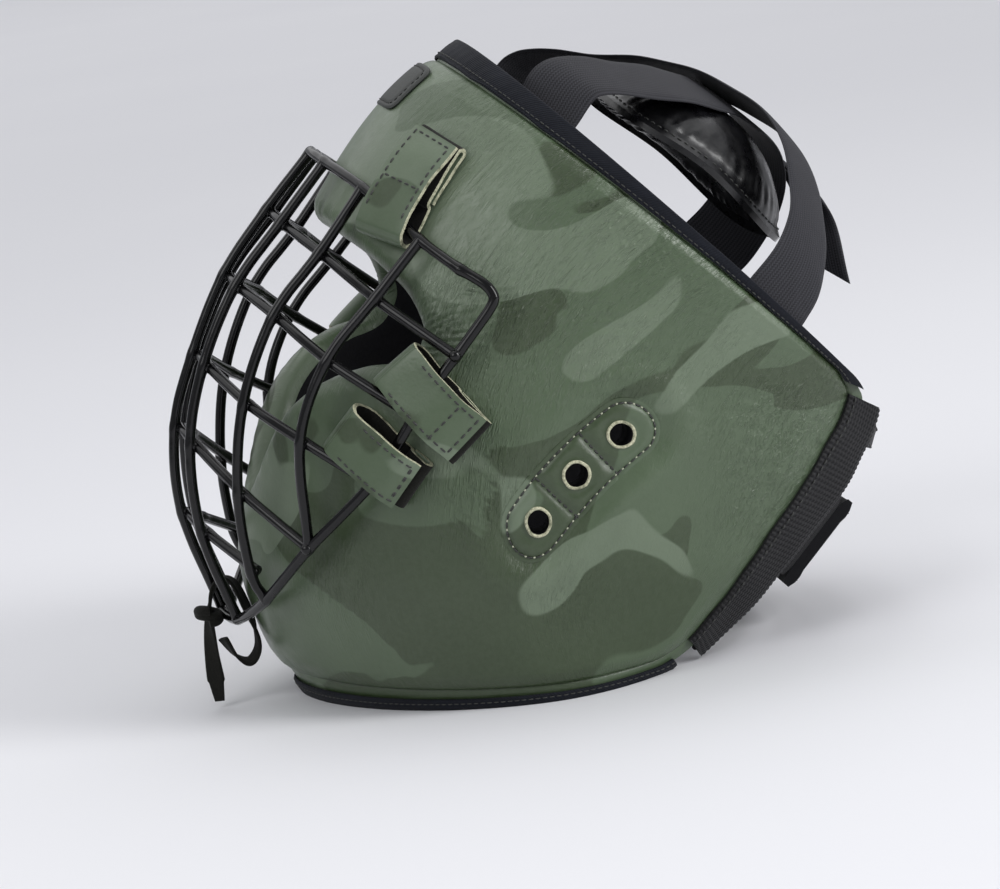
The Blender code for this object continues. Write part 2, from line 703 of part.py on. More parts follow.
def strap_root(way):
    """Where a crown strap is sewn inside the crown binding: the middle of the chord that
    the strap's width spans there, and the chord's direction."""
    depth = HEM_OUTER_DEPTH + HEM_THICKNESS + TAPE_ROOM + TAPE + ROOT_ROOM + WEBBING / 2
    reach = 0.02
    rim = surface(way + reach, 0.0) - surface(way - reach, 0.0)
    half = reach * (WEBBING_WIDTH + ROOT_SPREAD) / np.linalg.norm(rim)
    ends = np.array([way - half, way + half])
    points = surface(ends, 0.0) - outward(ends, 0.0) * depth
    return points.mean(axis=0), unit(points[1] - points[0])


def crown_strap_bands():
    """Rings of both straps: the right-hand one is the mirror image, raised over the other
    where they cross. Also the middle line, and its outward and width directions."""
    over = np.array(CROWN_ROUTE) * np.array([HALF_WIDTH, SHELL_LENGTH, CROWN_HEIGHT])
    front, front_across = strap_root(CROWN_ROOTS[0])
    rear, rear_across = strap_root(CROWN_ROOTS[1])
    sewn = np.array([0.0, 0.0, -ROOT_BELOW])
    free = np.array([0.0, 0.0, ROOT_ABOVE])
    path = spline(np.vstack([front + sewn, front + free, over, rear + free, rear + sewn]), 4)
    centre = np.array([0.0, SHELL_LENGTH * CROSSING_SHARE, -CROWN_HEIGHT])
    out = unit(path - centre)
    across = unit(np.cross(out, unit(np.gradient(path, axis=0))))
    front_across = front_across * np.sign(np.dot(front_across, across[6]))
    rear_across = rear_across * np.sign(np.dot(rear_across, across[-7]))
    steps = np.arange(len(path))
    near_front = np.clip(1.6 - steps / 6.0, 0, 1)[:, None]
    near_rear = near_front[::-1]
    across = unit(across * (1 - near_front) * (1 - near_rear) + front_across * near_front
                  + rear_across * near_rear)
    lower = band(path, across, WEBBING_WIDTH, WEBBING)
    spread = WEBBING_WIDTH * 1.5
    over_pad = np.exp(-((path[:, 0] / spread) ** 2 + ((path[:, 1] - centre[1]) / spread) ** 2) ** 2)
    raised = path + out * (over_pad * CROSSING_LIFT)[:, None]
    upper = band(raised, across, WEBBING_WIDTH, WEBBING)
    return path, out, across, lower, upper * np.array([-1.0, 1.0, 1.0])


def make_crown_straps(material):
    """Two crossed webbing straps."""
    _, _, _, lower, upper = crown_strap_bands()
    return [make_object("crown_strap_left_front", *loft(lower), material),
            make_object("crown_strap_right_front", *loft(upper), material)]


def make_crown_pad(material):
    """Puffy pad under the crossing, with a sewn flange round its middle."""
    path, out, _, _, _ = crown_strap_bands()
    top = path[np.argmin(np.abs(path[:, 0]))]
    roof = top[2] - WEBBING / 2 - SEAT
    middle = np.array([0.0, SHELL_LENGTH * CROSSING_SHARE + PAD_BACK])
    turns = np.linspace(0, 2 * math.pi, PAD_SPOKES, endpoint=False)
    corner = np.stack([np.cos(turns), np.sin(turns)], axis=1)
    corner = np.sign(corner) * np.abs(corner) ** PAD_SQUARENESS
    outline = corner * np.array([PAD_WIDTH / 2, PAD_LENGTH / 2])
    body = 1 - PAD_FLANGE_WIDTH / (PAD_WIDTH / 2)
    steps = [(0.30, 0.5), (0.62, 0.46), (0.85, 0.33), (body, 0.5 * PAD_FLANGE / PAD_THICKNESS),
             (1.0, 0.5 * PAD_FLANGE / PAD_THICKNESS)]
    half = PAD_THICKNESS / 2
    crest = top[1] + PAD_BACK * 2

    def height(xy):
        """Middle surface of the pad: a dome that falls to the sides and the ends."""
        return (roof - half - PAD_DOME[0] * (xy[:, 0] / (PAD_WIDTH / 2)) ** 2
                - PAD_DOME[1] * ((xy[:, 1] - crest) / (PAD_LENGTH / 2)) ** 2)

    rings = []
    for share, rise in steps + [(s, -r) for s, r in reversed(steps)]:
        xy = outline * share + middle
        rings.append(np.column_stack([xy, height(xy) + rise * PAD_THICKNESS]))
    vertices, faces = loft(np.array(rings))
    return [make_object("crown_pad", vertices, faces, material)]


def make_tail(material):
    """Free end of the rear adjuster, lying on the strap behind the crossing."""
    path, out, across, _, _ = crown_strap_bands()
    at = np.argmin(np.abs(path[:, 0] + HALF_WIDTH * TAIL_ROOT))
    lift = WEBBING + SEAT
    root = path[at] + out[at] * lift
    tip = root + np.array([TAIL_ACROSS, TAIL_LENGTH * 0.83, -TAIL_LENGTH * 0.35])
    low = root + np.array([TAIL_ACROSS * 0.4, TAIL_LENGTH * 0.45, -TAIL_LENGTH * 0.06])
    line = spline(np.array([root, low, tip]), 4)
    turn = np.linspace(0, 1, len(line))[:, None] * np.array(TAIL_TURN)
    wide = across[at] + turn
    return [make_object("crown_strap_tail", *loft(band(line, wide, TAIL_WIDTH, TAIL)), material)]


def back_band(left_at, right_at, bulge, fans, thickness, lap=0.0, rising=False):
    """Band across the back between two shares of the fan angle, from one share of the rear
    edge's half width to another, bulging behind the rear edges. Its outer face starts
    under the elastic; lap lifts it over another band, apart from its right-hand end. A
    rising band stays in its planes of the fan, so that it keeps clear of the ground."""
    columns = rear_columns()
    edge = across_the_wall(columns, -ELASTIC_BEHIND * 0.5, HEM_OUTER_DEPTH - CLEARANCE + SEAT)
    share = np.linspace(left_at, right_at, 19)
    lift = lap * np.clip((share - FLAP_RISE[0]) / (FLAP_RISE[1] - FLAP_RISE[0]), 0, 1)
    outer = []
    for fan in fans:
        start = np.array([np.interp(fan, columns[:, 1], edge[:, k]) for k in range(3)])
        y = start[1] + bulge * (1 - share**2) + lift
        z = np.full_like(y, start[2])
        if rising:
            z = start[2] * (HINGE_DISTANCE - y) / (HINGE_DISTANCE - start[1])
        outer.append(np.stack([share * start[0], y, z], axis=1))
    slope = unit(np.gradient(outer[0], axis=0))
    inward = np.cross(slope, [0.0, 0.0, -1.0]) * thickness
    rings = np.stack([outer[0], outer[1], outer[1] + inward, outer[0] + inward], axis=1)
    return rings


def make_back(soft, fuzzy, webbing):
    """Two soft straps and, between them, the closure: a loop pad from the left edge and a
    hook flap from the right edge that lies over it."""
    top, bottom = CLOSURE_FANS
    inset = (top + PAD_INSET, bottom - PAD_INSET)
    occiput = back_band(BAND_END, -BAND_END, OCCIPUT_BULGE, OCCIPUT_FANS, SOFT_STRAP)
    nape = back_band(BAND_END, -BAND_END, NAPE_BULGE, NAPE_FANS, SOFT_STRAP, rising=True)
    pad = back_band(BAND_END, PAD_END, CLOSURE_BULGE, inset, CLOSURE_PAD)
    flap = back_band(FLAP_END, -BAND_END, CLOSURE_BULGE, CLOSURE_FANS, CLOSURE_FLAP,
                     CLOSURE_FLAP + SEAT)
    return [make_object("occiput_strap", *loft(occiput), soft),
            make_object("nape_strap", *loft(nape), soft),
            make_object("closure_pad", *loft(pad), fuzzy),
            make_object("closure_flap", *loft(flap), webbing)]


def make_chin_tie(material):
    """Thong from its free tail up and once round the cage's bottom wire."""
    route = np.array(TIE_ROUTE)
    line = spline(lifted(np.zeros(len(route)), route[:, 0], route[:, 1]), 2)
    line[:, 0] += THONG_ASIDE
    wide = np.repeat([[1.0, 0.0, 0.0]], len(line), axis=0)
    return [make_object("chin_tie", *loft(band(line, wide, THONG_WIDTH, THONG)), material)]


def make_patch(material):
    """Blank leather patch on the brow, following its curve."""
    ways = np.linspace(-PATCH_HALF_ROUND, PATCH_HALF_ROUND, 13)
    fans = np.linspace(PATCH_FAN[0], PATCH_FAN[1], 4)
    outline = [lifted(ways, np.full_like(ways, fan), np.full_like(ways, SEAT)) for fan in fans]
    outline += [lifted(ways, np.full_like(ways, fan), np.full_like(ways, SEAT + PATCH_THICKNESS))
                for fan in fans[::-1]]
    return [make_object("forehead_patch", *loft(np.stack(outline, axis=1)), material)]


def make_material(name):
    """Plain principled material with the part's colour, roughness and metallic value."""
    color, roughness, metallic = COLORS[name]
    material = bpy.data.materials.new(name)
    material.use_nodes = True
    shader = material.node_tree.nodes["Principled BSDF"]
    shader.inputs["Base Color"].default_value = color
    shader.inputs["Roughness"].default_value = roughness
    shader.inputs["Metallic"].default_value = metallic
    return material


def tip_onto_ground(items):
    """Tip the crown frame back by the fan angle, so that the jaw rim's plane is level,
    and put the origin under the middle of the guard's box."""
    holder = bpy.data.objects.new("guard_frame", None)
    bpy.context.scene.collection.objects.link(holder)
    tip = math.radians(FAN_ANGLE)
    corners = []
    for item in items:
        points = np.empty(len(item.data.vertices) * 3)
        item.data.vertices.foreach_get("co", points)
        points = points.reshape(-1, 3)
        y = points[:, 1] * math.cos(tip) + points[:, 2] * math.sin(tip)
        z = -points[:, 1] * math.sin(tip) + points[:, 2] * math.cos(tip)
        corners.append([y.min(), y.max(), z.min()])
    corners = np.array(corners)
    holder.rotation_euler = (-tip, 0.0, 0.0)
    holder.location = (0.0, -(corners[:, 0].min() + corners[:, 1].max()) / 2, -corners[:, 2].min())
    return holder


def main():
    """Build every piece and stand the guard on its jaw rim."""
    for old in list(bpy.data.objects):
        bpy.data.objects.remove(old)
    materials = {name: make_material(name) for name in COLORS}
    shell_and_drills = make_shell(materials["leather_green"])
    cage_pieces = make_cage(materials["wire_black"])
    solids = [shell_and_drills[0], cage_pieces[0]]
    solids += make_bindings(materials["tape_black"])
    solids += make_elastics(materials["elastic_black"])
    solids += make_cage_straps(materials["leather_green"])
    solids += make_crown_straps(materials["webbing_charcoal"])
    solids += make_crown_pad(materials["leather_black"])
    solids += make_tail(materials["webbing_charcoal"])
    solids += make_back(materials["elastic_black"], materials["hook_and_loop_black"],
                        materials["webbing_charcoal"])
    solids += make_chin_tie(materials["thong_black"])
    solids += make_patch(materials["tape_black"])
    holder = tip_onto_ground(solids + cage_pieces[1:])
    for item in solids + shell_and_drills[1:] + cage_pieces[1:]:
        item.parent = holder


main()
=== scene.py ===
"""Stick fighting head guard: a padded camouflage leather shell, a welded wire face cage held
by folded leather straps, crossed webbing over a crown pad, ribbed rear elastics, soft back
straps and a hook and loop closure, standing on its jaw rim.

Shapes are worked out in the crown frame, in millimetres: X to the wearer's left, Y to the
rear along the crown rim, Z up out of the rim, with the rim's front at the origin."""
import math

import bmesh
import bpy
import numpy as np
from mathutils import Matrix, Vector


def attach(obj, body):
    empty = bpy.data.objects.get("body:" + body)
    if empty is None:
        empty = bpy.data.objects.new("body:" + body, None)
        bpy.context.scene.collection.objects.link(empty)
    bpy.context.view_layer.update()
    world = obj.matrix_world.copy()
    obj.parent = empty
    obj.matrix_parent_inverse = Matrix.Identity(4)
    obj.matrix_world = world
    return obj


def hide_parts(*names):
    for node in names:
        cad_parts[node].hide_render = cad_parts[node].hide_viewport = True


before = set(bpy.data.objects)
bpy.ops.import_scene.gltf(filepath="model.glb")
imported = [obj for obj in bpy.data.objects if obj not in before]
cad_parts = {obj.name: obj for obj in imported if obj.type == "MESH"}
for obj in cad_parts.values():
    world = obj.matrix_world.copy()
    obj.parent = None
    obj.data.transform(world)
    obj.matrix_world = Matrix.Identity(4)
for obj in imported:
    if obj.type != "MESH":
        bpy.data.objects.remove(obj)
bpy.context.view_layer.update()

# Studio: a seamless pale floor that fills the picture, a tall softbox from the rear as the
# key light, weak ones over the front and overhead, a panel that lights only the backdrop,
# and a long lens.
CAMERA_AT = Vector((1.4691, -0.1827, 0.3346))
LOOKED_AT = Vector((0.0, -0.0108, 0.0851))
PICTURE_UP = Vector((0.0, 0.146, 0.989))
LENS = 135.0
FLOOR_HALF = 30.0


def linear(hex_code):
    """Linear colour of an sRGB hex code, with full alpha."""
    parts = np.array([int(hex_code[i:i + 2], 16) for i in (1, 3, 5)]) / 255
    values = np.where(parts <= 0.04045, parts / 12.92, ((parts + 0.055) / 1.055) ** 2.4)
    return (*values.tolist(), 1.0)


def put(tree, kind, values=(), **settings):
    """Adds a shader node. Each value is an input with its number, colour or output socket.
    A texture's Scale is written as 1000 over its size in millimetres, and a bump's Distance
    as its height in millimetres over 1000, because Object coordinates are metres."""
    node = tree.nodes.new("ShaderNode" + kind)
    for key, value in settings.items():
        setattr(node, key, value)
    for key, value in values:
        if isinstance(value, bpy.types.NodeSocket):
            tree.links.new(value, node.inputs[key])
        else:
            node.inputs[key].default_value = value
    return node


def plain_material(name, roughness, **sockets):
    """Material with its tree and shader; the given sockets are set on the shader itself."""
    material = bpy.data.materials.new(name)
    material.use_nodes = True
    shader = material.node_tree.nodes["Principled BSDF"]
    shader.inputs["Roughness"].default_value = roughness
    for key, value in sockets.items():
        shader.inputs[key.replace("_", " ")].default_value = value
    return material, material.node_tree, shader


def painted_floor():
    """Pale matt studio paper with a barely seen mottle."""
    material, tree, shader = plain_material("studio_paper", 0.9)
    place = put(tree, "TexCoord").outputs["Object"]
    grain = put(tree, "TexNoise", [("Vector", place), ("Scale", 1000 / 900.0),
                                   ("Detail", 2.0)]).outputs["Fac"]
    colour = put(tree, "Mix", [(0, grain), (6, linear("#E4E4E8")), (7, linear("#E9E9EC"))],
                 data_type="RGBA").outputs[2]
    tree.links.new(colour, shader.inputs["Base Color"])
    return material


def softbox(name, at, size, power, aimed=(0.0, 0.0, 0.12)):
    """Square area light that looks at a point."""
    lamp = bpy.data.lights.new(name, "AREA")
    lamp.shape = "RECTANGLE"
    lamp.size, lamp.size_y = size
    lamp.energy = power
    holder = bpy.data.objects.new(name, lamp)
    bpy.context.scene.collection.objects.link(holder)
    holder.location = at
    holder.rotation_euler = (Vector(aimed) - Vector(at)).to_track_quat("-Z", "Y").to_euler()


lens = bpy.data.cameras.new("photo_camera")
lens.lens = LENS
lens.sensor_width = 36.0
lens.sensor_fit = "HORIZONTAL"
lens.clip_end = 100.0
camera = bpy.data.objects.new("photo_camera", lens)
bpy.context.scene.collection.objects.link(camera)
ahead_of_lens = (LOOKED_AT - CAMERA_AT).normalized()
right_of_lens = ahead_of_lens.cross(PICTURE_UP).normalized()
camera.matrix_world = Matrix.Translation(CAMERA_AT) @ Matrix(
    (right_of_lens, right_of_lens.cross(ahead_of_lens), -ahead_of_lens)).transposed().to_4x4()
bpy.context.scene.camera = camera

floor_mesh = bpy.data.meshes.new("studio_floor")
floor_mesh.from_pydata([(-FLOOR_HALF, -FLOOR_HALF, 0), (FLOOR_HALF, -FLOOR_HALF, 0),
                        (FLOOR_HALF, FLOOR_HALF, 0), (-FLOOR_HALF, FLOOR_HALF, 0)],
                       [], [(0, 1, 2, 3)])
floor_mesh.materials.append(painted_floor())
studio_floor = bpy.data.objects.new("studio_floor", floor_mesh)
bpy.context.scene.collection.objects.link(studio_floor)

softbox("front_softbox", (1.3, -1.5, 1.5), (1.4, 1.4), 15.0)
softbox("rear_softbox", (1.2, 1.6, 1.1), (0.7, 1.6), 33.0)
softbox("top_softbox", (-0.1, 0.0, 1.9), (1.6, 1.6), 5.0)
softbox("backdrop_panel", (-6.5, -1.0, 4.5), (12.0, 14.0), 340.0, aimed=(-6.5, -1.0, 0.0))
world = bpy.data.worlds.new("studio_air")
world.use_nodes = True
world.node_tree.nodes["Background"].inputs["Color"].default_value = linear("#E6E8EE")
world.node_tree.nodes["Background"].inputs["Strength"].default_value = 0.42
bpy.context.scene.world = world
bpy.context.scene.view_settings.view_transform = "Standard"


# Padded shell: foam 16 mm thick between an outer skin of printed satin leather and a black
# brushed lining, thinned to a hem round both rims, rolled over at the face opening, and
# quilted down round the ear vents. The leather gathers into fine creases where it is pulled.
MM = 0.001
SHELL_LENGTH = 210.0
HALF_WIDTH = 100.0
HINGE_DISTANCE = 325.0
FAN_ANGLE = 49.4
GUARD_AT = (-4.981, 247.113)        # crown frame's origin in the row frame: back, up
WALL = 16.0
HEM_DEPTH = 2.4
HEM_THICKNESS = 5.6
HEM_WIDTH = 11.0
SWELL_WIDTH = 9.0
RELIEF_BEFORE_SWELL = 2.5
ROLL_WIDTH = 9.0
FRONT_SHARE = 0.6
SECTIONS = np.array((
    # share of the fan, front, width, deep, rear, end, power
    (0.00, 1.000, 0.970, 0.345, 1.000, 0.600, 2.00),
    (0.10, 1.020, 0.980, 0.345, 1.005, 0.620, 2.00),
    (0.25, 1.034, 0.995, 0.342, 1.014, 0.660, 2.00),
    (0.40, 1.036, 1.015, 0.338, 1.024, 0.690, 2.00),
    (0.55, 1.031, 1.030, 0.332, 1.029, 0.710, 1.95),
    (0.70, 1.022, 1.025, 0.323, 1.033, 0.720, 1.85),
    (0.80, 1.024, 1.005, 0.314, 1.036, 0.720, 1.75),
    (0.90, 1.000, 0.980, 0.302, 1.038, 0.710, 1.70),
    (1.00, 0.960, 0.950, 0.292, 1.038, 0.700, 1.70)))
OPENING = np.array((
    # share of the edge, share round the shell, share of the fan
    (0.00, 0.000, 0.315), (0.14, 0.130, 0.315), (0.27, 0.245, 0.326), (0.37, 0.325, 0.352),
    (0.44, 0.362, 0.392), (0.50, 0.352, 0.432), (0.59, 0.285, 0.468), (0.70, 0.205, 0.515),
    (0.81, 0.130, 0.578), (0.91, 0.062, 0.668), (1.00, 0.000, 0.712)))
COLUMN_COUNTS = (17, 7, 14)         # coarse columns along the crown rim, rear edge, jaw rim
FINE = 7                            # fine columns to a coarse one
CORNER_ROUNDING = 0.03
CORNER_LOOKS_AT = (0.42, 0.56)      # shares of the opening's edge opposite the rear corners
VENT_MIDDLE = (0.628, 0.535)
VENT_PITCH = (-0.043, 0.104)        # round, fan, from each vent to the next one down
VENT_RADIUS = 4.7
PANEL_RADIUS = 13.0
PANEL_HALF_RUN = 25.5
PANEL_DEPTH = 1.9
# What a crease's height below is multiplied by, in the wall and in its finer wrinkles.
CREASE_RISE, CREASE_SHARE = 1.35, 2.2
# Creases: round, fan, reach along and across the folds, turn of the folds in degrees,
# distance between folds, height. All lengths in millimetres.
CREASES = (
    (0.385, 0.345, 24.0, 15.0, 62.0, 5.6, 0.55),
    (0.400, 0.405, 15.0, 13.0, 25.0, 4.8, 0.45),
    (0.470, 0.335, 22.0, 18.0, 35.0, 6.4, 0.35),
    (0.500, 0.190, 26.0, 34.0, 70.0, 9.0, 0.30),
    (0.540, 0.080, 13.0, 60.0, 84.0, 6.8, 0.34),
    (0.620, 0.300, 30.0, 26.0, 40.0, 9.5, 0.28),
    (0.500, 0.520, 20.0, 30.0, 8.0, 6.2, 0.32),
    (0.505, 0.620, 18.0, 18.0, -24.0, 6.0, 0.30),
    (0.880, 0.270, 34.0, 20.0, 14.0, 7.2, 0.50),
    (0.960, 0.330, 20.0, 34.0, 4.0, 6.2, 0.48),
    (0.900, 0.540, 22.0, 32.0, -12.0, 8.2, 0.30),
    (0.660, 0.780, 22.0, 26.0, 72.0, 8.5, 0.22),
    (0.300, 0.800, 20.0, 24.0, 50.0, 8.0, 0.22),
    (0.240, 0.100, 18.0, 36.0, 80.0, 8.0, 0.22))


def smooth(x, table, column):
    """Cubic Hermite curve through a column of a table, with slopes from its neighbours."""
    xs, ys = table[:, 0], table[:, column]
    slopes = np.gradient(ys, xs)
    x = np.asarray(x, float)
    i = np.clip(np.searchsorted(xs, x) - 1, 0, len(xs) - 2)
    step = xs[i + 1] - xs[i]
    u = (x - xs[i]) / step
    return ((2 * u**3 - 3 * u**2 + 1) * ys[i] + (u**3 - 2 * u**2 + u) * step * slopes[i]
            + (3 * u**2 - 2 * u**3) * ys[i + 1] + (u**3 - u**2) * step * slopes[i + 1])


def surface(way, fan):
    """Padded surface. way runs from -1 at the right rear edge through 0 at the front to 1 at
    the left rear edge, fan from 0 at the crown rim to 1 at the jaw rim. Each plane of the fan
    holds a superellipse in front of the widest place and a parabola behind it."""
    way, fan = np.broadcast_arrays(np.asarray(way, float), np.asarray(fan, float))
    angle = np.radians(FAN_ANGLE) * fan
    front = HINGE_DISTANCE * smooth(fan, SECTIONS, 1)
    width = HALF_WIDTH * smooth(fan, SECTIONS, 2)
    deep = HINGE_DISTANCE * smooth(fan, SECTIONS, 3)
    rear = SHELL_LENGTH * smooth(fan, SECTIONS, 4)
    end = HALF_WIDTH * smooth(fan, SECTIONS, 5)
    power = smooth(fan, SECTIONS, 6)
    last = front - (HINGE_DISTANCE - rear) / np.cos(angle)
    share = np.abs(way)
    turn = np.clip(share / FRONT_SHARE, 0, 1) * math.pi / 2
    back = np.clip((share - FRONT_SHARE) / (1 - FRONT_SHARE), 0, None)
    is_front = share < FRONT_SHARE
    across = np.where(is_front, width * np.sin(turn) ** (2 / power),
                      width - (width - end) * back**2)
    behind = np.where(is_front, deep * (1 - np.clip(np.cos(turn), 0, 1) ** (2 / power)),
                      deep + (last - deep) * back)
    reach = front - behind
    return np.stack([across * np.sign(way), HINGE_DISTANCE - reach * np.cos(angle),
                     -reach * np.sin(angle)], axis=-1)


def unit(vectors):
    """Vectors scaled to length 1."""
    return vectors / np.maximum(np.linalg.norm(vectors, axis=-1, keepdims=True), 1e-9)


def run_along(path):
    """Distance run along a path at each of its points."""
    steps = np.linalg.norm(np.diff(path, axis=0), axis=1)
    return np.concatenate([[0], np.cumsum(steps)])


def outward(way, fan):
    """Unit normal of the padded surface, from central differences."""
    step = 1e-3
    way, fan = np.broadcast_arrays(np.asarray(way, float), np.asarray(fan, float))
    along = surface(way + step, fan) - surface(way - step, fan)
    down = surface(way, fan + step) - surface(way, fan - step)
    return unit(np.cross(down, along))


def lifted(way, fan, ahead):
    """Point a distance outside the padded surface."""
    return surface(way, fan) + np.asarray(ahead, float)[..., None] * outward(way, fan)


def stand(points):
    """Crown frame millimetres to row frame metres: a turn by the fan angle about X, then a
    shift to where the guard stands."""
    tip = math.radians(FAN_ANGLE)
    x, y, z = points[..., 0], points[..., 1], points[..., 2]
    back = y * math.cos(tip) + z * math.sin(tip) + GUARD_AT[0]
    up = -y * math.sin(tip) + z * math.cos(tip) + GUARD_AT[1]
    return np.stack([x, back, up], axis=-1) * MM


def make_piece(name, points, faces, materials, face_uv=None, slots=None):
    """Mesh object from crown frame points and faces, turned outward, with an optional UV map
    in metres given for each face corner, and the material slot of each face."""
    mesh = bpy.data.meshes.new(name)
    mesh.from_pydata(stand(points.reshape(-1, 3)).tolist(), [], faces)
    if face_uv is not None:
        layer = mesh.uv_layers.new(name="cloth")
        layer.data.foreach_set("uv", (np.asarray(face_uv, float) * MM).ravel())
    for material in materials:
        mesh.materials.append(material)
    if slots is not None:
        mesh.polygons.foreach_set("material_index", np.asarray(slots, np.int32))
    cleaner = bmesh.new()
    cleaner.from_mesh(mesh)
    bmesh.ops.recalc_face_normals(cleaner, faces=cleaner.faces)
    cleaner.to_mesh(mesh)
    cleaner.free()
    mesh.shade_smooth()
    mesh.set_sharp_from_angle(angle=math.radians(50))
    item = bpy.data.objects.new(name, mesh)
    bpy.context.scene.collection.objects.link(item)
    return item


def skin(name, grid, materials, uv=None, round_rows=False, round_columns=False, slots=None):
    """Piece from a grid of points (rows by columns): quads between neighbours, the last row
    or column joined to the first where asked, and flat caps on an open tube's ends. uv is a
    grid one larger on each joined side. slots gives the material slot of each column."""
    rows, columns = grid.shape[:2]
    i = np.arange(rows if round_rows else rows - 1)
    j = np.arange(columns if round_columns else columns - 1)
    i, j = (a.ravel() for a in np.meshgrid(i, j, indexing="ij"))
    after_i, after_j = (i + 1) % rows, (j + 1) % columns
    quads = np.stack([i * columns + j, i * columns + after_j,
                      after_i * columns + after_j, after_i * columns + j], axis=1)
    faces = quads.tolist()
    face_slots = None if slots is None else list(np.asarray(slots)[j])
    face_uv = None
    if uv is not None:
        face_uv = np.stack([uv[i, j], uv[i, j + 1], uv[i + 1, j + 1], uv[i + 1, j]],
                           axis=1).reshape(-1, 2)
    if round_columns and not round_rows:
        for start in (0, rows - 1):
            faces.append(list(range(start * columns, (start + 1) * columns)))
            if face_uv is not None:
                face_uv = np.vstack([face_uv, uv[start, :columns]])
            if face_slots is not None:
                face_slots.append(max(slots))
    return make_piece(name, grid, faces, materials, face_uv=face_uv, slots=face_slots)


def edge_columns():
    """Way and fan of the outer edge and of the face opening across from it, on the left half
    from the front of the crown rim to the chin, with the rear corners rounded."""
    crown_count, rear_count, jaw_count = COLUMN_COUNTS
    crown = np.linspace(0, 1, crown_count, endpoint=False)
    rear = np.linspace(0, 1, rear_count, endpoint=False)
    jaw = np.linspace(0, 1, jaw_count + 1)
    way = np.concatenate([crown, np.ones(rear_count), 1 - jaw])
    fan = np.concatenate([np.zeros(crown_count), rear, np.ones(jaw_count + 1)])
    for corner, sign in ((crown_count, 1), (crown_count + rear_count, -1)):
        way[corner] -= CORNER_ROUNDING / 2
        fan[corner] += CORNER_ROUNDING * sign
    at_crown, at_jaw = CORNER_LOOKS_AT
    share = np.concatenate([crown * at_crown, at_crown + rear * (at_jaw - at_crown),
                            at_jaw + jaw * (1 - at_jaw)])
    coarse = np.arange(len(way))
    fine = np.linspace(0, len(way) - 1, (len(way) - 1) * FINE + 1)
    table = np.stack([np.interp(fine, coarse, v) for v in (way, fan, share)], axis=1)
    padded = np.pad(table, ((2, 2), (0, 0)), mode="edge")
    eased = sum(padded[k:len(padded) - 4 + k] for k in range(5)) / 5
    eased[[0, -1]] = table[[0, -1]]
    eased[1:-1, 0] = np.clip(eased[1:-1, 0], 1e-3, 1)
    return np.stack([eased[:, 0], eased[:, 1], smooth(eased[:, 2], OPENING, 1),
                     smooth(eased[:, 2], OPENING, 2)], axis=1)


def across_the_wall(columns, from_rim, depth):
    """Place (way, fan) and point at a distance from the outer edge and a depth under the
    padded surface, on the straight line in way and fan to the face opening."""
    outer = surface(columns[:, 0], columns[:, 1])
    length = np.linalg.norm(outer - surface(columns[:, 2], columns[:, 3]), axis=1)
    share = np.clip(from_rim / length, 0, 1)
    way = columns[:, 0] + (columns[:, 2] - columns[:, 0]) * share
    fan = columns[:, 1] + (columns[:, 3] - columns[:, 1]) * share
    near = columns[:, :2] * 0.98 + columns[:, 2:] * 0.02
    inward = unit(surface(near[:, 0], near[:, 1]) - outer)
    beyond = np.minimum(from_rim, 0) * np.ones(len(columns))
    point = surface(way, fan) - np.asarray(depth, float)[..., None] * outward(way, fan)
    return way, fan, point + beyond[:, None] * inward


def panel_frame():
    """Middle of the ear panel, its run along the vents and its width direction, and how a
    step in way and fan moves along the two, in millimetres."""
    way, fan = VENT_MIDDLE
    step = 1e-3
    by_way = (surface(way + step, fan) - surface(way - step, fan)) / (2 * step)
    by_fan = (surface(way, fan + step) - surface(way, fan - step)) / (2 * step)
    run = unit(by_way * VENT_PITCH[0] + by_fan * VENT_PITCH[1])
    wide = unit(np.cross(outward(way, fan), run))
    return np.array([[by_way @ run, by_fan @ run], [by_way @ wide, by_fan @ wide]])


PANEL_STEPS = panel_frame()
PANEL_BACK = np.linalg.inv(PANEL_STEPS)
VENT_SPACING = float((PANEL_STEPS @ np.array(VENT_PITCH))[0])


def panel_place(way, fan):
    """Distance along the vents and across them from the ear panel's middle."""
    offset = np.stack([np.abs(way) - VENT_MIDDLE[0], fan - VENT_MIDDLE[1]], axis=-1)
    local = offset @ PANEL_STEPS.T
    return local[..., 0], local[..., 1]


def panel_gap(along, across):
    """Distance outside the ear panel's outline, a straight-sided oval."""
    past = np.maximum(np.abs(along) - PANEL_HALF_RUN, 0)
    return np.hypot(past, across) - PANEL_RADIUS


def ease(x):
    """0 to 1 with soft ends."""
    x = np.clip(x, 0, 1)
    return x * x * (3 - 2 * x)


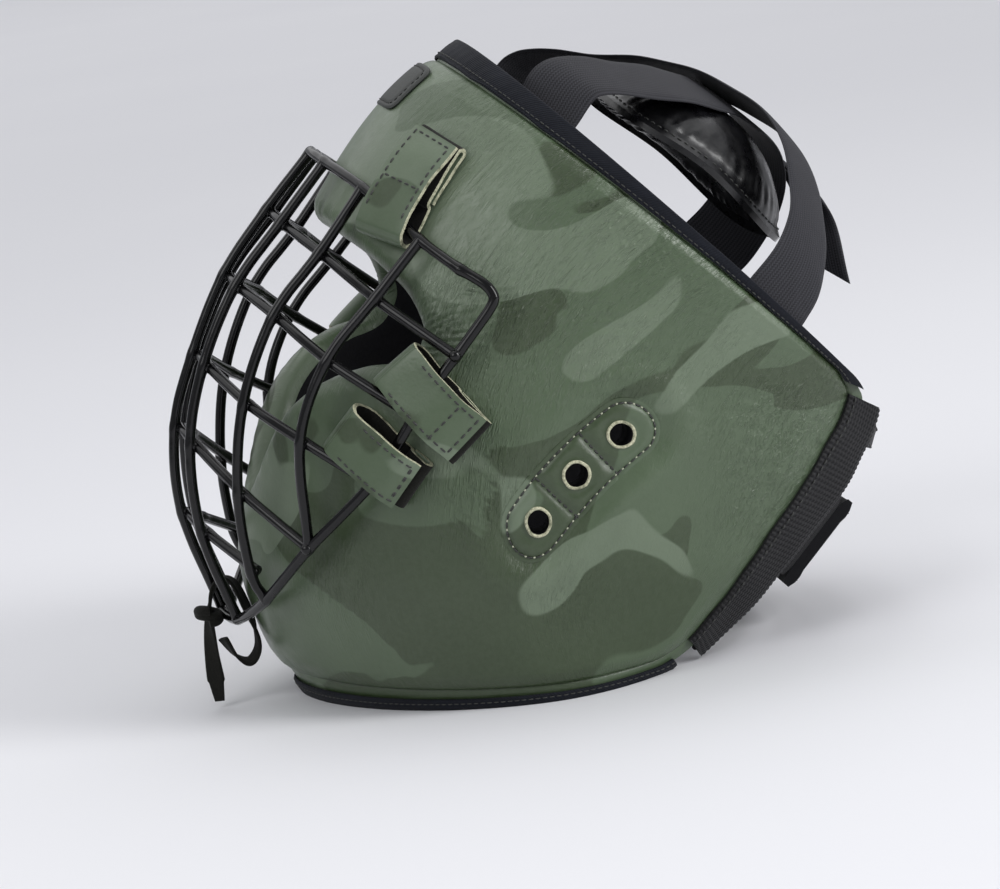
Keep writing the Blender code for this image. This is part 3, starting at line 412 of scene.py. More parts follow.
def folds(way, points):
    """Height of the leather's creases and how creased each place is. Each group is a bell
    times sharpened sine waves whose lines wander, on the tangent plane at its middle."""
    height = np.zeros(way.shape)
    creased = np.zeros(way.shape)
    side = np.where(way < 0, -1.0, 1.0)
    mirror = points * np.stack([side, np.ones_like(side), np.ones_like(side)], axis=-1)
    for number, (at_way, at_fan, reach, width, turn, pitch, tall) in enumerate(CREASES):
        middle = surface(at_way, at_fan)
        normal = outward(at_way, at_fan)
        round_way = unit(surface(at_way + 0.01, at_fan) - surface(at_way - 0.01, at_fan))
        down_way = np.cross(normal, round_way)
        turned = math.radians(turn)
        along = round_way * math.cos(turned) + down_way * math.sin(turned)
        over = down_way * math.cos(turned) - round_way * math.sin(turned)
        offset = mirror - middle
        p, q = offset @ along, offset @ over
        bell = np.exp(-(p / reach) ** 2 - (q / width) ** 2)
        wander = 1.6 * np.sin(p / 11.0 + number + side)
        wander += 1.1 * np.sin(p / 4.7 + q / 9.0 + 2 * number)
        wave = np.sin(2 * math.pi * (q + wander) / pitch)
        finer = np.sin(2 * math.pi * (q * 1.9 + wander * 0.7 + p * 0.16) / pitch + side)
        height += CREASE_RISE * tall * bell * (0.75 * (1 - 2 * np.abs(wave) ** 0.7) + 0.35 * finer)
        creased += CREASE_SHARE * tall * bell
    return height, np.clip(creased, 0, 1)


def relief(way, fan, points, from_rim, to_roll, column_run):
    """Height of the outer skin over the plain padded form: creases, slow dents, puckers
    beside the hem's seam, gathers over the face opening's roll, and the ear panel's dip with
    the padding bulging round it."""
    height, creased = folds(way, points)
    height += 0.5 * np.sin(way * 17.0 + 2.0) * np.sin(fan * 13.0 + 0.6)
    seam = np.exp(-((from_rim - HEM_WIDTH - 3.0) / 5.0) ** 2)
    pucker = np.sin(column_run / 5.2) + 0.6 * np.sin(column_run / 3.1 + 1.3)
    height += 0.14 * seam * pucker
    gather = np.exp(-(to_roll / 7.0) ** 2)
    brow = 0.35 + 0.65 * np.exp(-((np.abs(way) - 0.12) / 0.13) ** 2) * (fan < 0.45)
    height += 0.34 * gather * brow * np.sin(column_run / 1.25 + np.sin(column_run / 6.0))
    along, across = panel_place(way, fan)
    gap = panel_gap(along, across)
    dip = ease((5.0 - gap) / 6.5)
    bulge = np.exp(-((gap - 9.0) / 6.0) ** 2)
    height = height * (1 - dip) - PANEL_DEPTH * dip + 1.1 * bulge
    return height, np.clip(creased + 0.5 * gather * brow + 0.25 * seam, 0, 1)


def wall_profile():
    """Shares of each stretch across the wall: rim and hem, swell, field, roll, lining."""
    hem = [(0.0, 0, HEM_DEPTH + 2.8), (0.25, 0, HEM_DEPTH + 0.8), (0.8, 0, HEM_DEPTH)]
    hem += [(x, 0, HEM_DEPTH) for x in (3.5, 6.5, 9.0)]
    swell = np.linspace(0, 1, 8)
    hem += [(HEM_WIDTH - 1.0 + (SWELL_WIDTH + 1.0) * s, 0,
             HEM_DEPTH * (1 - s**0.6) + 0.5 * math.exp(-(s * 9.0) ** 2)) for s in swell]
    full = HEM_WIDTH + SWELL_WIDTH
    field = [(full, s, 0.0) for s in np.linspace(0, 1, 62)[1:]]
    roll = [(a, 1, WALL / 2 * (1 - math.cos(a))) for a in np.linspace(0, math.pi, 15)[1:]]
    hem_inner = HEM_DEPTH + HEM_THICKNESS
    inner = [(full, s, WALL) for s in np.linspace(1, 0, 12)[1:]]
    inner += [(HEM_WIDTH + SWELL_WIDTH * s, 0, hem_inner + (WALL - hem_inner) * ease(s))
              for s in (0.75, 0.5, 0.25, 0.0)]
    inner += [(5.0, 0, hem_inner), (0.8, 0, hem_inner), (0.25, 0, hem_inner - 0.8)]
    return hem, field, roll, inner


def shell_grid():
    """Outer skin and lining as one closed grid of columns by steps across the wall, with the
    UV map, and how creased each point is."""
    left = edge_columns()
    columns = np.vstack([left, left[1:-1][::-1] * np.array([-1.0, 1.0, -1.0, 1.0])])
    outer = surface(columns[:, 0], columns[:, 1])
    length = np.linalg.norm(outer - surface(columns[:, 2], columns[:, 3]), axis=1)
    middle = length - HEM_WIDTH - SWELL_WIDTH - ROLL_WIDTH
    run = run_along(surface(columns[:, 2], columns[:, 3]))
    hem, field, roll, inner = wall_profile()
    places, creases, maps = [], [], []
    for kind, steps in enumerate((hem, field, roll, inner)):
        for first, share, depth in steps:
            if kind == 2:
                reach = length - ROLL_WIDTH + ROLL_WIDTH * math.sin(first)
            else:
                reach = first + middle * share
            way, fan, point = across_the_wall(columns, reach, np.full(len(columns), depth))
            creased = np.zeros(len(columns))
            if kind < 3 and reach.min() > HEM_WIDTH - RELIEF_BEFORE_SWELL:
                from_rim = reach * np.ones(len(columns))
                to_roll = (length - from_rim) if kind < 2 else np.zeros(len(columns))
                height, creased = relief(way, fan, surface(way, fan), from_rim, to_roll, run)
                fade = 1.0 if kind < 2 else max(0.0, 1 - first / 2.2)
                swell_in = ease((from_rim - HEM_WIDTH + 2.0) / 5.0)
                point = point + (height * fade * swell_in)[:, None] * outward(way, fan)
            places.append(point)
            creases.append(creased)
            maps.append(np.stack([way * 330.0, fan * 240.0], axis=1))
    grid = np.stack(places, axis=1)
    uv = np.stack(maps, axis=1)
    uv = np.concatenate([uv, uv[:, :1]], axis=1)
    uv = np.concatenate([uv, uv[:1]], axis=0)
    lining = np.zeros(grid.shape[1], int)
    lining[-(len(inner) + 4):] = 1
    return grid, uv, np.stack(creases, axis=1), lining


def camouflage_leather():
    """Printed satin leather: a mid green ground with large lobed patches, dark green ones
    mostly low and pale grey green ones mostly high, a fine pebble grain, and thread-fine
    creases where it is gathered. The lean of the patches by height is painted light and
    shade: more pale print at the top as painted light, more dark print low as painted shade."""
    material, tree, shader = plain_material("camouflage_leather", 0.4, Coat_Weight=0.16,
                                            Coat_Roughness=0.32)
    place = put(tree, "TexCoord").outputs["Object"]
    turned = put(tree, "Mapping", [("Vector", place), ("Rotation", (0.75, 0.0, 0.3)),
                                   ("Scale", (1.0, 0.72, 1.25))]).outputs["Vector"]
    shifted = put(tree, "Mapping", [("Vector", place), ("Location", (3.1, 1.7, 5.2)),
                                    ("Scale", (1.0, 0.8, 1.15))]).outputs["Vector"]
    # Painted light and shade: height pushes the dark print low and the pale print high, standing in
    # for light from above.
    height_up = put(tree, "SeparateXYZ", [("Vector", place)]).outputs["Z"]
    term = put(tree, "Math", [(0, height_up), (1, 0.12)], operation="SUBTRACT").outputs[0]
    painted_light_lean = put(tree, "Math", [(0, term), (1, 0.75)], operation="MULTIPLY").outputs[0]
    grain = put(tree, "TexNoise", [("Vector", turned), ("Scale", 1000 / 62.0), ("Detail", 1.6),
                                   ("Roughness", 0.42), ("Distortion", 0.9)]).outputs["Fac"]
    low_noise = put(tree, "Math", [(0, grain), (1, painted_light_lean)], operation="SUBTRACT").outputs[0]
    grain = put(tree, "TexNoise", [("Vector", shifted), ("Scale", 1000 / 70.0), ("Detail", 1.4),
                                   ("Roughness", 0.4), ("Distortion", 0.8)]).outputs["Fac"]
    high_noise = put(tree, "Math", [(0, grain), (1, painted_light_lean)], operation="ADD").outputs[0]
    dark = put(tree, "MapRange", [("Value", low_noise), ("From Min", 0.55), ("From Max", 0.562)],
               interpolation_type="SMOOTHSTEP").outputs["Result"]
    pale = put(tree, "MapRange", [("Value", high_noise), ("From Min", 0.585), ("From Max", 0.597)],
               interpolation_type="SMOOTHSTEP").outputs["Result"]
    tone = put(tree, "TexNoise", [("Vector", place), ("Scale", 1000 / 2.2), ("Detail", 3.0),
                                  ("Roughness", 0.65)]).outputs["Fac"]
    colour = put(tree, "Mix", [(0, dark), (6, linear("#4B5B43")), (7, linear("#35432A"))],
                 data_type="RGBA").outputs[2]
    colour = put(tree, "Mix", [(0, pale), (6, colour), (7, linear("#63715C"))],
                 data_type="RGBA").outputs[2]
    share = put(tree, "MapRange", [("Value", tone), ("From Min", 0.3), ("From Max", 0.7),
                                   ("To Min", 0.0), ("To Max", 0.1)],
                interpolation_type="SMOOTHSTEP").outputs["Result"]
    colour = put(tree, "Mix", [(0, share), (6, colour), (7, linear("#5F6C57"))],
                 data_type="RGBA").outputs[2]
    grain = put(tree, "TexNoise", [("Vector", place), ("Scale", 1000 / 26.0),
                                   ("Detail", 3.0)]).outputs["Fac"]
    share = put(tree, "MapRange", [("Value", grain), ("From Min", 0.4), ("From Max", 0.75),
                                   ("To Min", 0.0), ("To Max", 0.14)],
                interpolation_type="SMOOTHSTEP").outputs["Result"]
    colour = put(tree, "Mix", [(0, share), (6, colour), (7, linear("#2F3B26"))],
                 data_type="RGBA").outputs[2]
    tree.links.new(colour, shader.inputs["Base Color"])
    grain = put(tree, "TexNoise", [("Vector", place), ("Scale", 1000 / 9.0), ("Detail", 4.0),
                                   ("Roughness", 0.6)]).outputs["Fac"]
    gloss = put(tree, "MapRange", [("Value", grain), ("From Min", 0.3), ("From Max", 0.75),
                                   ("To Min", 0.31), ("To Max", 0.44)],
                interpolation_type="SMOOTHSTEP").outputs["Result"]
    tree.links.new(gloss, shader.inputs["Roughness"])
    cloth = put(tree, "UVMap", uv_map="cloth").outputs["UV"]
    amount = put(tree, "Attribute", attribute_name="creased").outputs["Fac"]
    height = None
    for turn, size in ((0.5, 3.4), (1.25, 2.6), (-0.35, 4.2)):
        lines = put(tree, "Mapping", [("Vector", cloth), ("Rotation", (0.0, 0.0, turn)),
                                      ("Scale", (1.0, 0.16, 1.0))]).outputs["Vector"]
        value = put(tree, "TexNoise", [("Vector", lines), ("Scale", 1000 / size), ("Detail", 3.0),
                                       ("Roughness", 0.6), ("Distortion", 0.35)]).outputs["Fac"]
        term = put(tree, "Math", [(0, value), (1, 0.5)], operation="SUBTRACT").outputs[0]
        ridge = put(tree, "Math", [(0, term)], operation="ABSOLUTE").outputs[0]
        height = ridge if height is None else put(tree, "Math", [(0, height), (1, ridge)],
                                                  operation="MINIMUM").outputs[0]
    share = put(tree, "MapRange", [("Value", height), ("From Min", 0.0), ("From Max", 0.09)],
                interpolation_type="SMOOTHSTEP").outputs["Result"]
    creases = put(tree, "Math", [(0, share), (1, amount)], operation="MULTIPLY").outputs[0]
    pebbles = put(tree, "TexVoronoi", [("Vector", place), ("Scale", 900.0)],
                  feature="SMOOTH_F1").outputs["Distance"]
    normal = put(tree, "Bump", [("Height", creases), ("Distance", 0.5 / 1000),
                                ("Strength", 0.75)]).outputs["Normal"]
    grain = put(tree, "TexNoise", [("Vector", place), ("Scale", 1000 / 5.5), ("Detail", 3.0),
                                   ("Roughness", 0.6)]).outputs["Fac"]
    normal = put(tree, "Bump", [("Height", grain), ("Distance", 0.25 / 1000), ("Strength", 0.5),
                                ("Normal", normal)]).outputs["Normal"]
    normal = put(tree, "Bump", [("Height", pebbles), ("Distance", 0.12 / 1000),
                                ("Strength", 0.35), ("Normal", normal)]).outputs["Normal"]
    tree.links.new(normal, shader.inputs["Normal"])
    return material


def brushed_lining():
    """Black brushed cloth inside the shell."""
    material, tree, shader = plain_material("brushed_lining", 0.95, Sheen_Weight=0.04,
                                            Specular_IOR_Level=0.15)
    place = put(tree, "TexCoord").outputs["Object"]
    grain = put(tree, "TexNoise", [("Vector", place), ("Scale", 1000 / 1.4),
                                   ("Detail", 4.0)]).outputs["Fac"]
    colour = put(tree, "Mix", [(0, grain), (6, linear("#0E0E10")), (7, linear("#1C1C1F"))],
                 data_type="RGBA").outputs[2]
    tree.links.new(colour, shader.inputs["Base Color"])
    grain = put(tree, "TexNoise", [("Vector", place), ("Scale", 1000 / 0.9),
                                   ("Detail", 3.0)]).outputs["Fac"]
    tree.links.new(put(tree, "Bump", [("Height", grain), ("Distance", 0.3 / 1000),
                                      ("Strength", 0.6)]).outputs["Normal"],
                   shader.inputs["Normal"])
    return material


def vent_drills():
    """Cylinders through the wall at the three vents on each side, as one loose mesh."""
    turns = np.linspace(0, 2 * math.pi, 36, endpoint=False)
    points, faces = [], []
    for side in (1, -1):
        for k in (-1, 0, 1):
            way = side * (VENT_MIDDLE[0] + k * VENT_PITCH[0])
            fan = VENT_MIDDLE[1] + k * VENT_PITCH[1]
            normal = outward(way, fan)
            across = unit(np.cross(normal, [0.0, 0.0, 1.0]))
            ring = VENT_RADIUS * (np.cos(turns)[:, None] * across
                                  + np.sin(turns)[:, None] * np.cross(normal, across))
            base = sum(len(p) for p in points)
            for depth in (WALL, -2 * WALL):
                points.append(surface(way, fan) + normal * depth + ring)
            near, far = base + np.arange(36), base + 36 + np.arange(36)
            faces += np.stack([near, np.roll(near, -1), np.roll(far, -1), far], axis=1).tolist()
            faces += [near.tolist(), far.tolist()]
    return make_piece("vent_drills", np.vstack(points), faces, [])


def drilled(item, cutter, slot):
    """Cuts the vents out of a piece; the cut faces take the given material slot."""
    cutter.data.materials.clear()
    for material in item.data.materials:
        cutter.data.materials.append(material)
    cutter.data.polygons.foreach_set("material_index", np.full(len(cutter.data.polygons), slot))
    cut = item.modifiers.new("vents", "BOOLEAN")
    cut.operation = "DIFFERENCE"
    cut.solver = "EXACT"
    cut.object = cutter
    bpy.context.view_layer.update()
    graph = bpy.context.evaluated_depsgraph_get()
    mesh = bpy.data.meshes.new_from_object(item.evaluated_get(graph))
    item.modifiers.clear()
    item.data = mesh


LEATHER = camouflage_leather()
LINING = brushed_lining()
grid, uv, creased, lining = shell_grid()
shell = skin("padded_shell", grid, [LEATHER, LINING], uv, round_rows=True, round_columns=True,
             slots=lining)
marks = shell.data.attributes.new("creased", "FLOAT", "POINT")
marks.data.foreach_set("value", creased.ravel())
drills = vent_drills()
drilled(shell, drills, 1)
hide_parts("shell")
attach(shell, "root")


# Ear panels: a patch of the same leather sewn down in the dip round the three vents, puffed
# between its outline and two cross seams, with the raw cream edge of the leather turned
# into a ring round each vent, and a two-colour lockstitch all round.
PANEL_LAYER = 1.5
SEAM_INSET = 2.0
THREAD = 0.75


def panel_point(along, across, height, side):
    """Point on the ear panel: a place in its plane carried to way and fan by the inverse of
    the panel's steps, at a height over the padded surface."""
    place = np.stack([along, across], axis=-1) @ PANEL_BACK.T
    point = lifted(VENT_MIDDLE[0] + place[..., 0], VENT_MIDDLE[1] + place[..., 1], height)
    return point * np.array([side, 1.0, 1.0])


def panel_height(along, across):
    """The panel's top: a soft pad in each of three cells, pulled down at the outline, at the
    cross seams and round the vents, and a valley along each line of stitches."""
    gap = panel_gap(along, across)
    seams = np.minimum(np.abs(along - VENT_SPACING / 2), np.abs(along + VENT_SPACING / 2))
    vents = np.min([np.hypot(along - k * VENT_SPACING, across) for k in (-1, 0, 1)], axis=0)
    puff = 0.9 * ease(-gap / 5.0) * ease(seams / 4.5)
    line = np.minimum(np.abs(gap + SEAM_INSET), seams)
    rim = 0.35 * np.exp(-((vents - VENT_RADIUS - 2.0) / 1.4) ** 2)
    crumple = 0.10 * np.sin(along / 2.3 + across / 3.1) * np.sin(across / 1.9 + 1.0)
    return -1.35 + puff - 0.45 * np.exp(-(line / 0.8) ** 2) - rim + crumple


def ear_panel(side):
    """Closed slab over the oval: columns across it at each place along it, top and bottom."""
    reach = PANEL_HALF_RUN + PANEL_RADIUS
    along = np.sin(np.linspace(-math.pi / 2, math.pi / 2, 121)) * (reach - 0.02)
    half = np.sqrt(PANEL_RADIUS**2 - np.maximum(np.abs(along) - PANEL_HALF_RUN, 0) ** 2)
    share = np.linspace(-1, 1, 41)
    places = np.broadcast_to(along[:, None], (121, 41))
    across = half[:, None] * share
    top = panel_point(places, across, panel_height(places, across), side)
    bottom = panel_point(places, across, panel_height(places, across) - PANEL_LAYER, side)
    grid = np.concatenate([top, bottom[:, ::-1]], axis=1)
    flat = np.stack([places, across], axis=-1)
    uv = np.concatenate([flat, flat[:, ::-1], flat[:, :1]], axis=1)
    return grid, uv


def stitches(name, path, normal, pitch, length, thick, material, start=0.0, rise=0.25):
    """Row of thread stitches along a path: each is a short arched capsule, half sunk into
    what it sews, six points round and five rings long."""
    run = run_along(path)
    at = np.arange(pitch / 2 + start, run[-1], pitch)
    middle = np.stack([np.interp(at, run, path[:, k]) for k in range(3)], axis=1)
    up = unit(np.stack([np.interp(at, run, normal[:, k]) for k in range(3)], axis=1))
    tangent = np.gradient(path, run + np.arange(len(run)) * 1e-9, axis=0)
    ahead = unit(np.stack([np.interp(at, run, tangent[:, k]) for k in range(3)], axis=1))
    side = unit(np.cross(up, ahead))
    reach = np.array([-0.5, -0.36, 0.0, 0.36, 0.5]) * length
    girth = np.array([0.25, 0.85, 1.0, 0.85, 0.25]) * thick / 2
    arch = rise * np.array([-1.0, 0.1, 0.6, 0.1, -1.0])
    turns = np.linspace(0, 2 * math.pi, 6, endpoint=False)
    ring = (np.cos(turns)[:, None] * side[:, None, None] + np.sin(turns)[:, None]
            * up[:, None, None])
    points = (middle[:, None, None] + ahead[:, None, None] * reach[:, None, None]
              + up[:, None, None] * arch[:, None, None] + ring * girth[:, None, None])
    ring_quads = np.array([[k * 6 + j, k * 6 + (j + 1) % 6, (k + 1) * 6 + (j + 1) % 6,
                            (k + 1) * 6 + j] for k in range(4) for j in range(6)])
    base = np.arange(len(at))[:, None, None] * 30
    faces = (ring_quads[None] + base).reshape(-1, 4).tolist()
    for first in (0, 24):
        faces += (np.arange(first, first + 6)[None] + base[:, 0]).tolist()
    return make_piece(name, points.reshape(-1, 3), faces, [material])


def oval_path(inset, side, height_over):
    """Points and normals round the ear panel's outline, inset from it."""
    radius = PANEL_RADIUS - inset
    turns = np.linspace(0, 2 * math.pi, 240)
    straight = np.where(np.cos(turns) > 0, PANEL_HALF_RUN, -PANEL_HALF_RUN)
    along = straight * np.minimum(1, np.abs(np.cos(turns)) * 6) + radius * np.cos(turns)
    across = radius * np.sin(turns)
    height = panel_height(along, across) + height_over
    path = panel_point(along, across, height, side)
    return path, panel_point(along, across, height + 1.0, side) - path


def thread_material(name, colour, gloss=0.55):
    """Twisted polyester thread."""
    material, tree, shader = plain_material(name, gloss)
    place = put(tree, "TexCoord").outputs["Object"]
    grain = put(tree, "TexNoise", [("Vector", place), ("Scale", 1000 / 0.8),
                                   ("Detail", 2.0)]).outputs["Fac"]
    mixed = put(tree, "Mix", [(0, grain), (6, linear(colour)), (7, linear("#6E6E6A"))],
                data_type="RGBA").outputs[2]
    tone = put(tree, "Mix", [(0, 0.25), (6, linear(colour)), (7, mixed)],
               data_type="RGBA").outputs[2]
    tree.links.new(tone, shader.inputs["Base Color"])
    twist = put(tree, "TexWave", [("Vector", place), ("Scale", 900.0), ("Distortion", 1.0)],
                bands_direction="DIAGONAL").outputs["Fac"]
    tree.links.new(put(tree, "Bump", [("Height", twist), ("Distance", 0.08 / 1000),
                                      ("Strength", 0.6)]).outputs["Normal"],
                   shader.inputs["Normal"])
    return material


def raw_edge():
    """Cut edge of chrome tanned leather: cream fibres, a little grimy."""
    material, tree, shader = plain_material("raw_leather_edge", 0.85)
    place = put(tree, "TexCoord").outputs["Object"]
    fibres = put(tree, "TexNoise", [("Vector", place), ("Scale", 1000 / 0.9), ("Detail", 4.0),
                                    ("Roughness", 0.7)]).outputs["Fac"]
    share = put(tree, "MapRange", [("Value", fibres), ("From Min", 0.35), ("From Max", 0.7)],
                interpolation_type="SMOOTHSTEP").outputs["Result"]
    colour = put(tree, "Mix", [(0, share), (6, linear("#C9C8AC")), (7, linear("#8E8F76"))],
                 data_type="RGBA").outputs[2]
    grain = put(tree, "TexNoise", [("Vector", place), ("Scale", 1000 / 5.0),
                                   ("Detail", 3.0)]).outputs["Fac"]
    grime = put(tree, "MapRange", [("Value", grain), ("From Min", 0.5), ("From Max", 0.72)],
                interpolation_type="SMOOTHSTEP").outputs["Result"]
    colour = put(tree, "Mix", [(0, grime), (6, colour), (7, linear("#5B614B"))],
                 data_type="RGBA").outputs[2]
    tree.links.new(colour, shader.inputs["Base Color"])
    tree.links.new(put(tree, "Bump", [("Height", fibres), ("Distance", 0.3 / 1000),
                                      ("Strength", 0.8)]).outputs["Normal"],
                   shader.inputs["Normal"])
    return material


DARK_THREAD = thread_material("dark_thread", "#1B1D1B")
PALE_THREAD = thread_material("pale_thread", "#B9BBA6")
RAW_EDGE = raw_edge()
for word, side in (("left", 1.0), ("right", -1.0)):
    grid, uv = ear_panel(side)
    panel = skin(f"ear_panel_{word}", grid, [LEATHER, LINING], uv, round_columns=True)
    drilled(panel, drills, 1)
    rims = []
    for k in (-1, 0, 1):
        turns = np.linspace(0, 2 * math.pi, 48, endpoint=False)
        ragged = 0.12 * np.sin(turns * 5 + k) + 0.08 * np.sin(turns * 9 + 2 * k)
        cross = np.linspace(0, 2 * math.pi, 10, endpoint=False)
        reach = VENT_RADIUS + 0.35 + 0.62 * np.cos(cross)[None] + ragged[:, None] * 0.5
        along = k * VENT_SPACING + reach * np.cos(turns)[:, None]
        across = reach * np.sin(turns)[:, None]
        seat = panel_height(k * VENT_SPACING + 6.3 * np.cos(turns), 6.3 * np.sin(turns))
        height = seat[:, None] + 0.15 + 0.75 * np.sin(cross)[None] + ragged[:, None] * 0.3
        rims.append(skin(f"vent_rim_{word}_{k + 2}", panel_point(along, across, height, side),
                         [RAW_EDGE], round_rows=True, round_columns=True))
    path, normal = oval_path(SEAM_INSET, side, 0.15)
    sewn = [stitches(f"ear_panel_stitches_{word}", path, normal, 3.4, 2.5, THREAD, DARK_THREAD),
            stitches(f"ear_panel_stitch_ends_{word}", path, normal, 3.4, 0.9, THREAD * 0.9,
                     PALE_THREAD, start=1.7, rise=0.1)]
    for number, at in enumerate((-VENT_SPACING / 2, VENT_SPACING / 2)):
        across = np.linspace(-PANEL_RADIUS + SEAM_INSET, PANEL_RADIUS - SEAM_INSET, 30)
        along = np.full_like(across, at)
        height = panel_height(along, across) + 0.15
        path = panel_point(along, across, height, side)
        normal = panel_point(along, across, height + 1.0, side) - path
        sewn.append(stitches(f"ear_panel_cross_stitches_{word}_{number + 1}", path, normal, 2.9,
                             2.3, THREAD, DARK_THREAD))
    for item in [panel, *rims, *sewn]:
        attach(item, "root")
bpy.data.objects.remove(drills)


# Bindings: navy black grosgrain tape folded over the hem of both rims and sewn through, a
# broad one round the crown rim and a narrow one round the jaw rim, pressed flat below.
TAPE = 1.4
TAPE_ROOM = 0.5
CROWN_TAPE_WIDTH = 9.5
JAW_TAPE_WIDTH = 5.0
GROUND_BELOW_RIM = 0.35
TAPE_SETTLES = 1.2


def tape_outline(leg):
    """Reach from the rim and depth round a folded tape: outer leg, fold, inner leg, and back
    along the inside, with rounded edges."""
    near, far = HEM_DEPTH - TAPE_ROOM, HEM_DEPTH + HEM_THICKNESS + TAPE_ROOM
    out, deep = near - TAPE, far + TAPE
    middle, half = (near + far) / 2, (deep - out) / 2
    turns = np.linspace(-math.pi / 2, math.pi / 2, 11)
    fold = np.stack([-TAPE_ROOM - TAPE * np.cos(turns) ** 0.6,
                     middle + half * np.sin(turns)], axis=1)
    outer = [(leg, near), (leg + 0.15, out + 0.75), (leg - 0.3, out + 0.25),
             (leg * 0.82, out + 0.1), (leg * 0.68, out), (leg * 0.45, out - 0.1),
             (leg * 0.25, out - 0.1), (1.0, out)]
    inner = [(1.0, deep), (leg * 0.5, deep), (leg - 0.3, deep - 0.2), (leg + 0.1, far + 0.6)]
    back = [(leg, far), (0.6, far), (-TAPE_ROOM, far - 1.4), (-TAPE_ROOM, near + 1.4), (0.6, near)]
    return np.array(outer + fold.tolist() + inner + back), slice(len(outer) + 2, len(outer) + 8)


def flattened(points, settles=0.0):
    """Points brought to the ground plane from below it, or from less than settles above."""
    tip = math.radians(FAN_ANGLE)
    down = np.array([0.0, math.sin(tip), -math.cos(tip)])
    height = GROUND_BELOW_RIM - (points - np.array([0.0, HINGE_DISTANCE, 0.0])) @ down
    return points + np.where(height < settles, height, 0.0)[..., None] * down


def binding_grid(columns, leg, waves):
    """Tape rings along the rim: its free edge wanders a little, and it puckers at the seam."""
    outline, below = tape_outline(leg)
    point = surface(columns[:, 0], columns[:, 1])
    run = run_along(point)
    edge = waves * (0.35 * np.sin(run / 9.0) + 0.22 * np.sin(run / 3.7 + 1.0))
    pucker = waves * (0.10 * np.sin(run / 1.1) + 0.08 * np.sin(run / 4.1))
    rings, maps = [], []
    around = run_along(outline)
    for k, (reach, depth) in enumerate(outline):
        outer_leg = k in range(1, 8)
        free = 1.0 if 0 < k < 4 else 0.0
        sunk = 0.28 * math.exp(-((reach - leg + 2.0) / 1.0) ** 2) if outer_leg else 0.0
        moved = np.maximum(reach + edge * free, 0.05) if reach > 0 else np.full(len(run), reach)
        lift = np.full(len(run), depth + sunk) - (pucker if outer_leg else 0.0)
        rings.append(across_the_wall(columns, moved, lift)[2])
        maps.append(np.stack([run, np.full(len(run), around[k])], axis=1))
    maps.append(np.stack([run, np.full(len(run), around[-1] + 2)], axis=1))
    return np.stack(rings, axis=1), np.stack(maps, axis=1), below


def grosgrain(name, base, high, rib=0.62):
    """Ribbed tape: fine ribs across its run, fuzz, and paler worn high places."""
    material, tree, shader = plain_material(name, 0.78, Sheen_Weight=0.04,
                                            Specular_IOR_Level=0.2)
    cloth = put(tree, "UVMap", uv_map="cloth").outputs["UV"]
    ribs = put(tree, "TexWave", [("Vector", cloth), ("Scale", 1000 / rib / 6.28),
                                 ("Distortion", 0.6), ("Detail", 1.0)],
               bands_direction="X").outputs["Fac"]
    place = put(tree, "TexCoord").outputs["Object"]
    fuzz = put(tree, "TexNoise", [("Vector", place), ("Scale", 1000 / 1.2), ("Detail", 4.0),
                                  ("Roughness", 0.7)]).outputs["Fac"]
    value = put(tree, "Math", [(0, ribs), (1, fuzz)], operation="MULTIPLY").outputs[0]
    colour = put(tree, "Mix", [(0, value), (6, linear(base)), (7, linear(high))],
                 data_type="RGBA").outputs[2]
    grain = put(tree, "TexNoise", [("Vector", place), ("Scale", 1000 / 14.0),
                                   ("Detail", 3.0)]).outputs["Fac"]
    worn = put(tree, "MapRange", [("Value", grain), ("From Min", 0.45), ("From Max", 0.8),
                                  ("To Min", 0.0), ("To Max", 0.3)],
               interpolation_type="SMOOTHSTEP").outputs["Result"]
    tree.links.new(put(tree, "Mix", [(0, worn), (6, colour), (7, linear(high))],
                       data_type="RGBA").outputs[2], shader.inputs["Base Color"])
    normal = put(tree, "Bump", [("Height", ribs), ("Distance", 0.16 / 1000),
                                ("Strength", 0.7)]).outputs["Normal"]
    tree.links.new(put(tree, "Bump", [("Height", fuzz), ("Distance", 0.2 / 1000),
                                      ("Strength", 0.4), ("Normal", normal)]).outputs["Normal"],
                   shader.inputs["Normal"])
    return material


BINDING_TAPE = grosgrain("navy_black_binding_tape", "#0B0D13", "#1C202B")
fine_columns = edge_columns()
mirror_columns = np.array([-1.0, 1.0, -1.0, 1.0])
crown_end = COLUMN_COUNTS[0] * FINE - FINE // 2
jaw_start = (COLUMN_COUNTS[0] + COLUMN_COUNTS[1]) * FINE + FINE // 2 + 2
crown_half = fine_columns[:crown_end]
jaw_half = fine_columns[jaw_start:]
for name, columns, leg in (
        ("crown_binding", np.vstack([crown_half[1:][::-1] * mirror_columns, crown_half]),
         CROWN_TAPE_WIDTH),
        ("jaw_binding", np.vstack([jaw_half, jaw_half[:-1][::-1] * mirror_columns]),
         JAW_TAPE_WIDTH)):
    grid, uv, below = binding_grid(columns, leg, 1.0 if leg > 6 else 0.6)
    if name == "jaw_binding":
        grid = flattened(grid)
        grid[:, below] = flattened(grid[:, below], TAPE_SETTLES)
    tape = skin(f"{name}_tape", grid, [BINDING_TAPE], uv, round_columns=True)
    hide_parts(name)
    sewn_at = leg - 2.0
    depth = np.full(len(columns), HEM_DEPTH - TAPE_ROOM - TAPE + 0.12)
    way, fan, line = across_the_wall(columns, sewn_at, depth)
    seam = stitches(f"{name}_stitches", line, outward(way, fan), 2.7, 2.0, 0.55, DARK_THREAD,
                    rise=0.15)
    for item in (tape, seam):
        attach(item, "root")


# Rear elastics: ribbed elastic 19 mm wide and 2 mm thick, sewn flat over both rear edges,
# half on the leather and half standing out behind it, with a stitched line on the leather.
ELASTIC_ON_SHELL = 10.0
ELASTIC_BEHIND = 9.0
ELASTIC_THICKNESS = 2.0
ELASTIC_BASE = HEM_DEPTH - 0.3


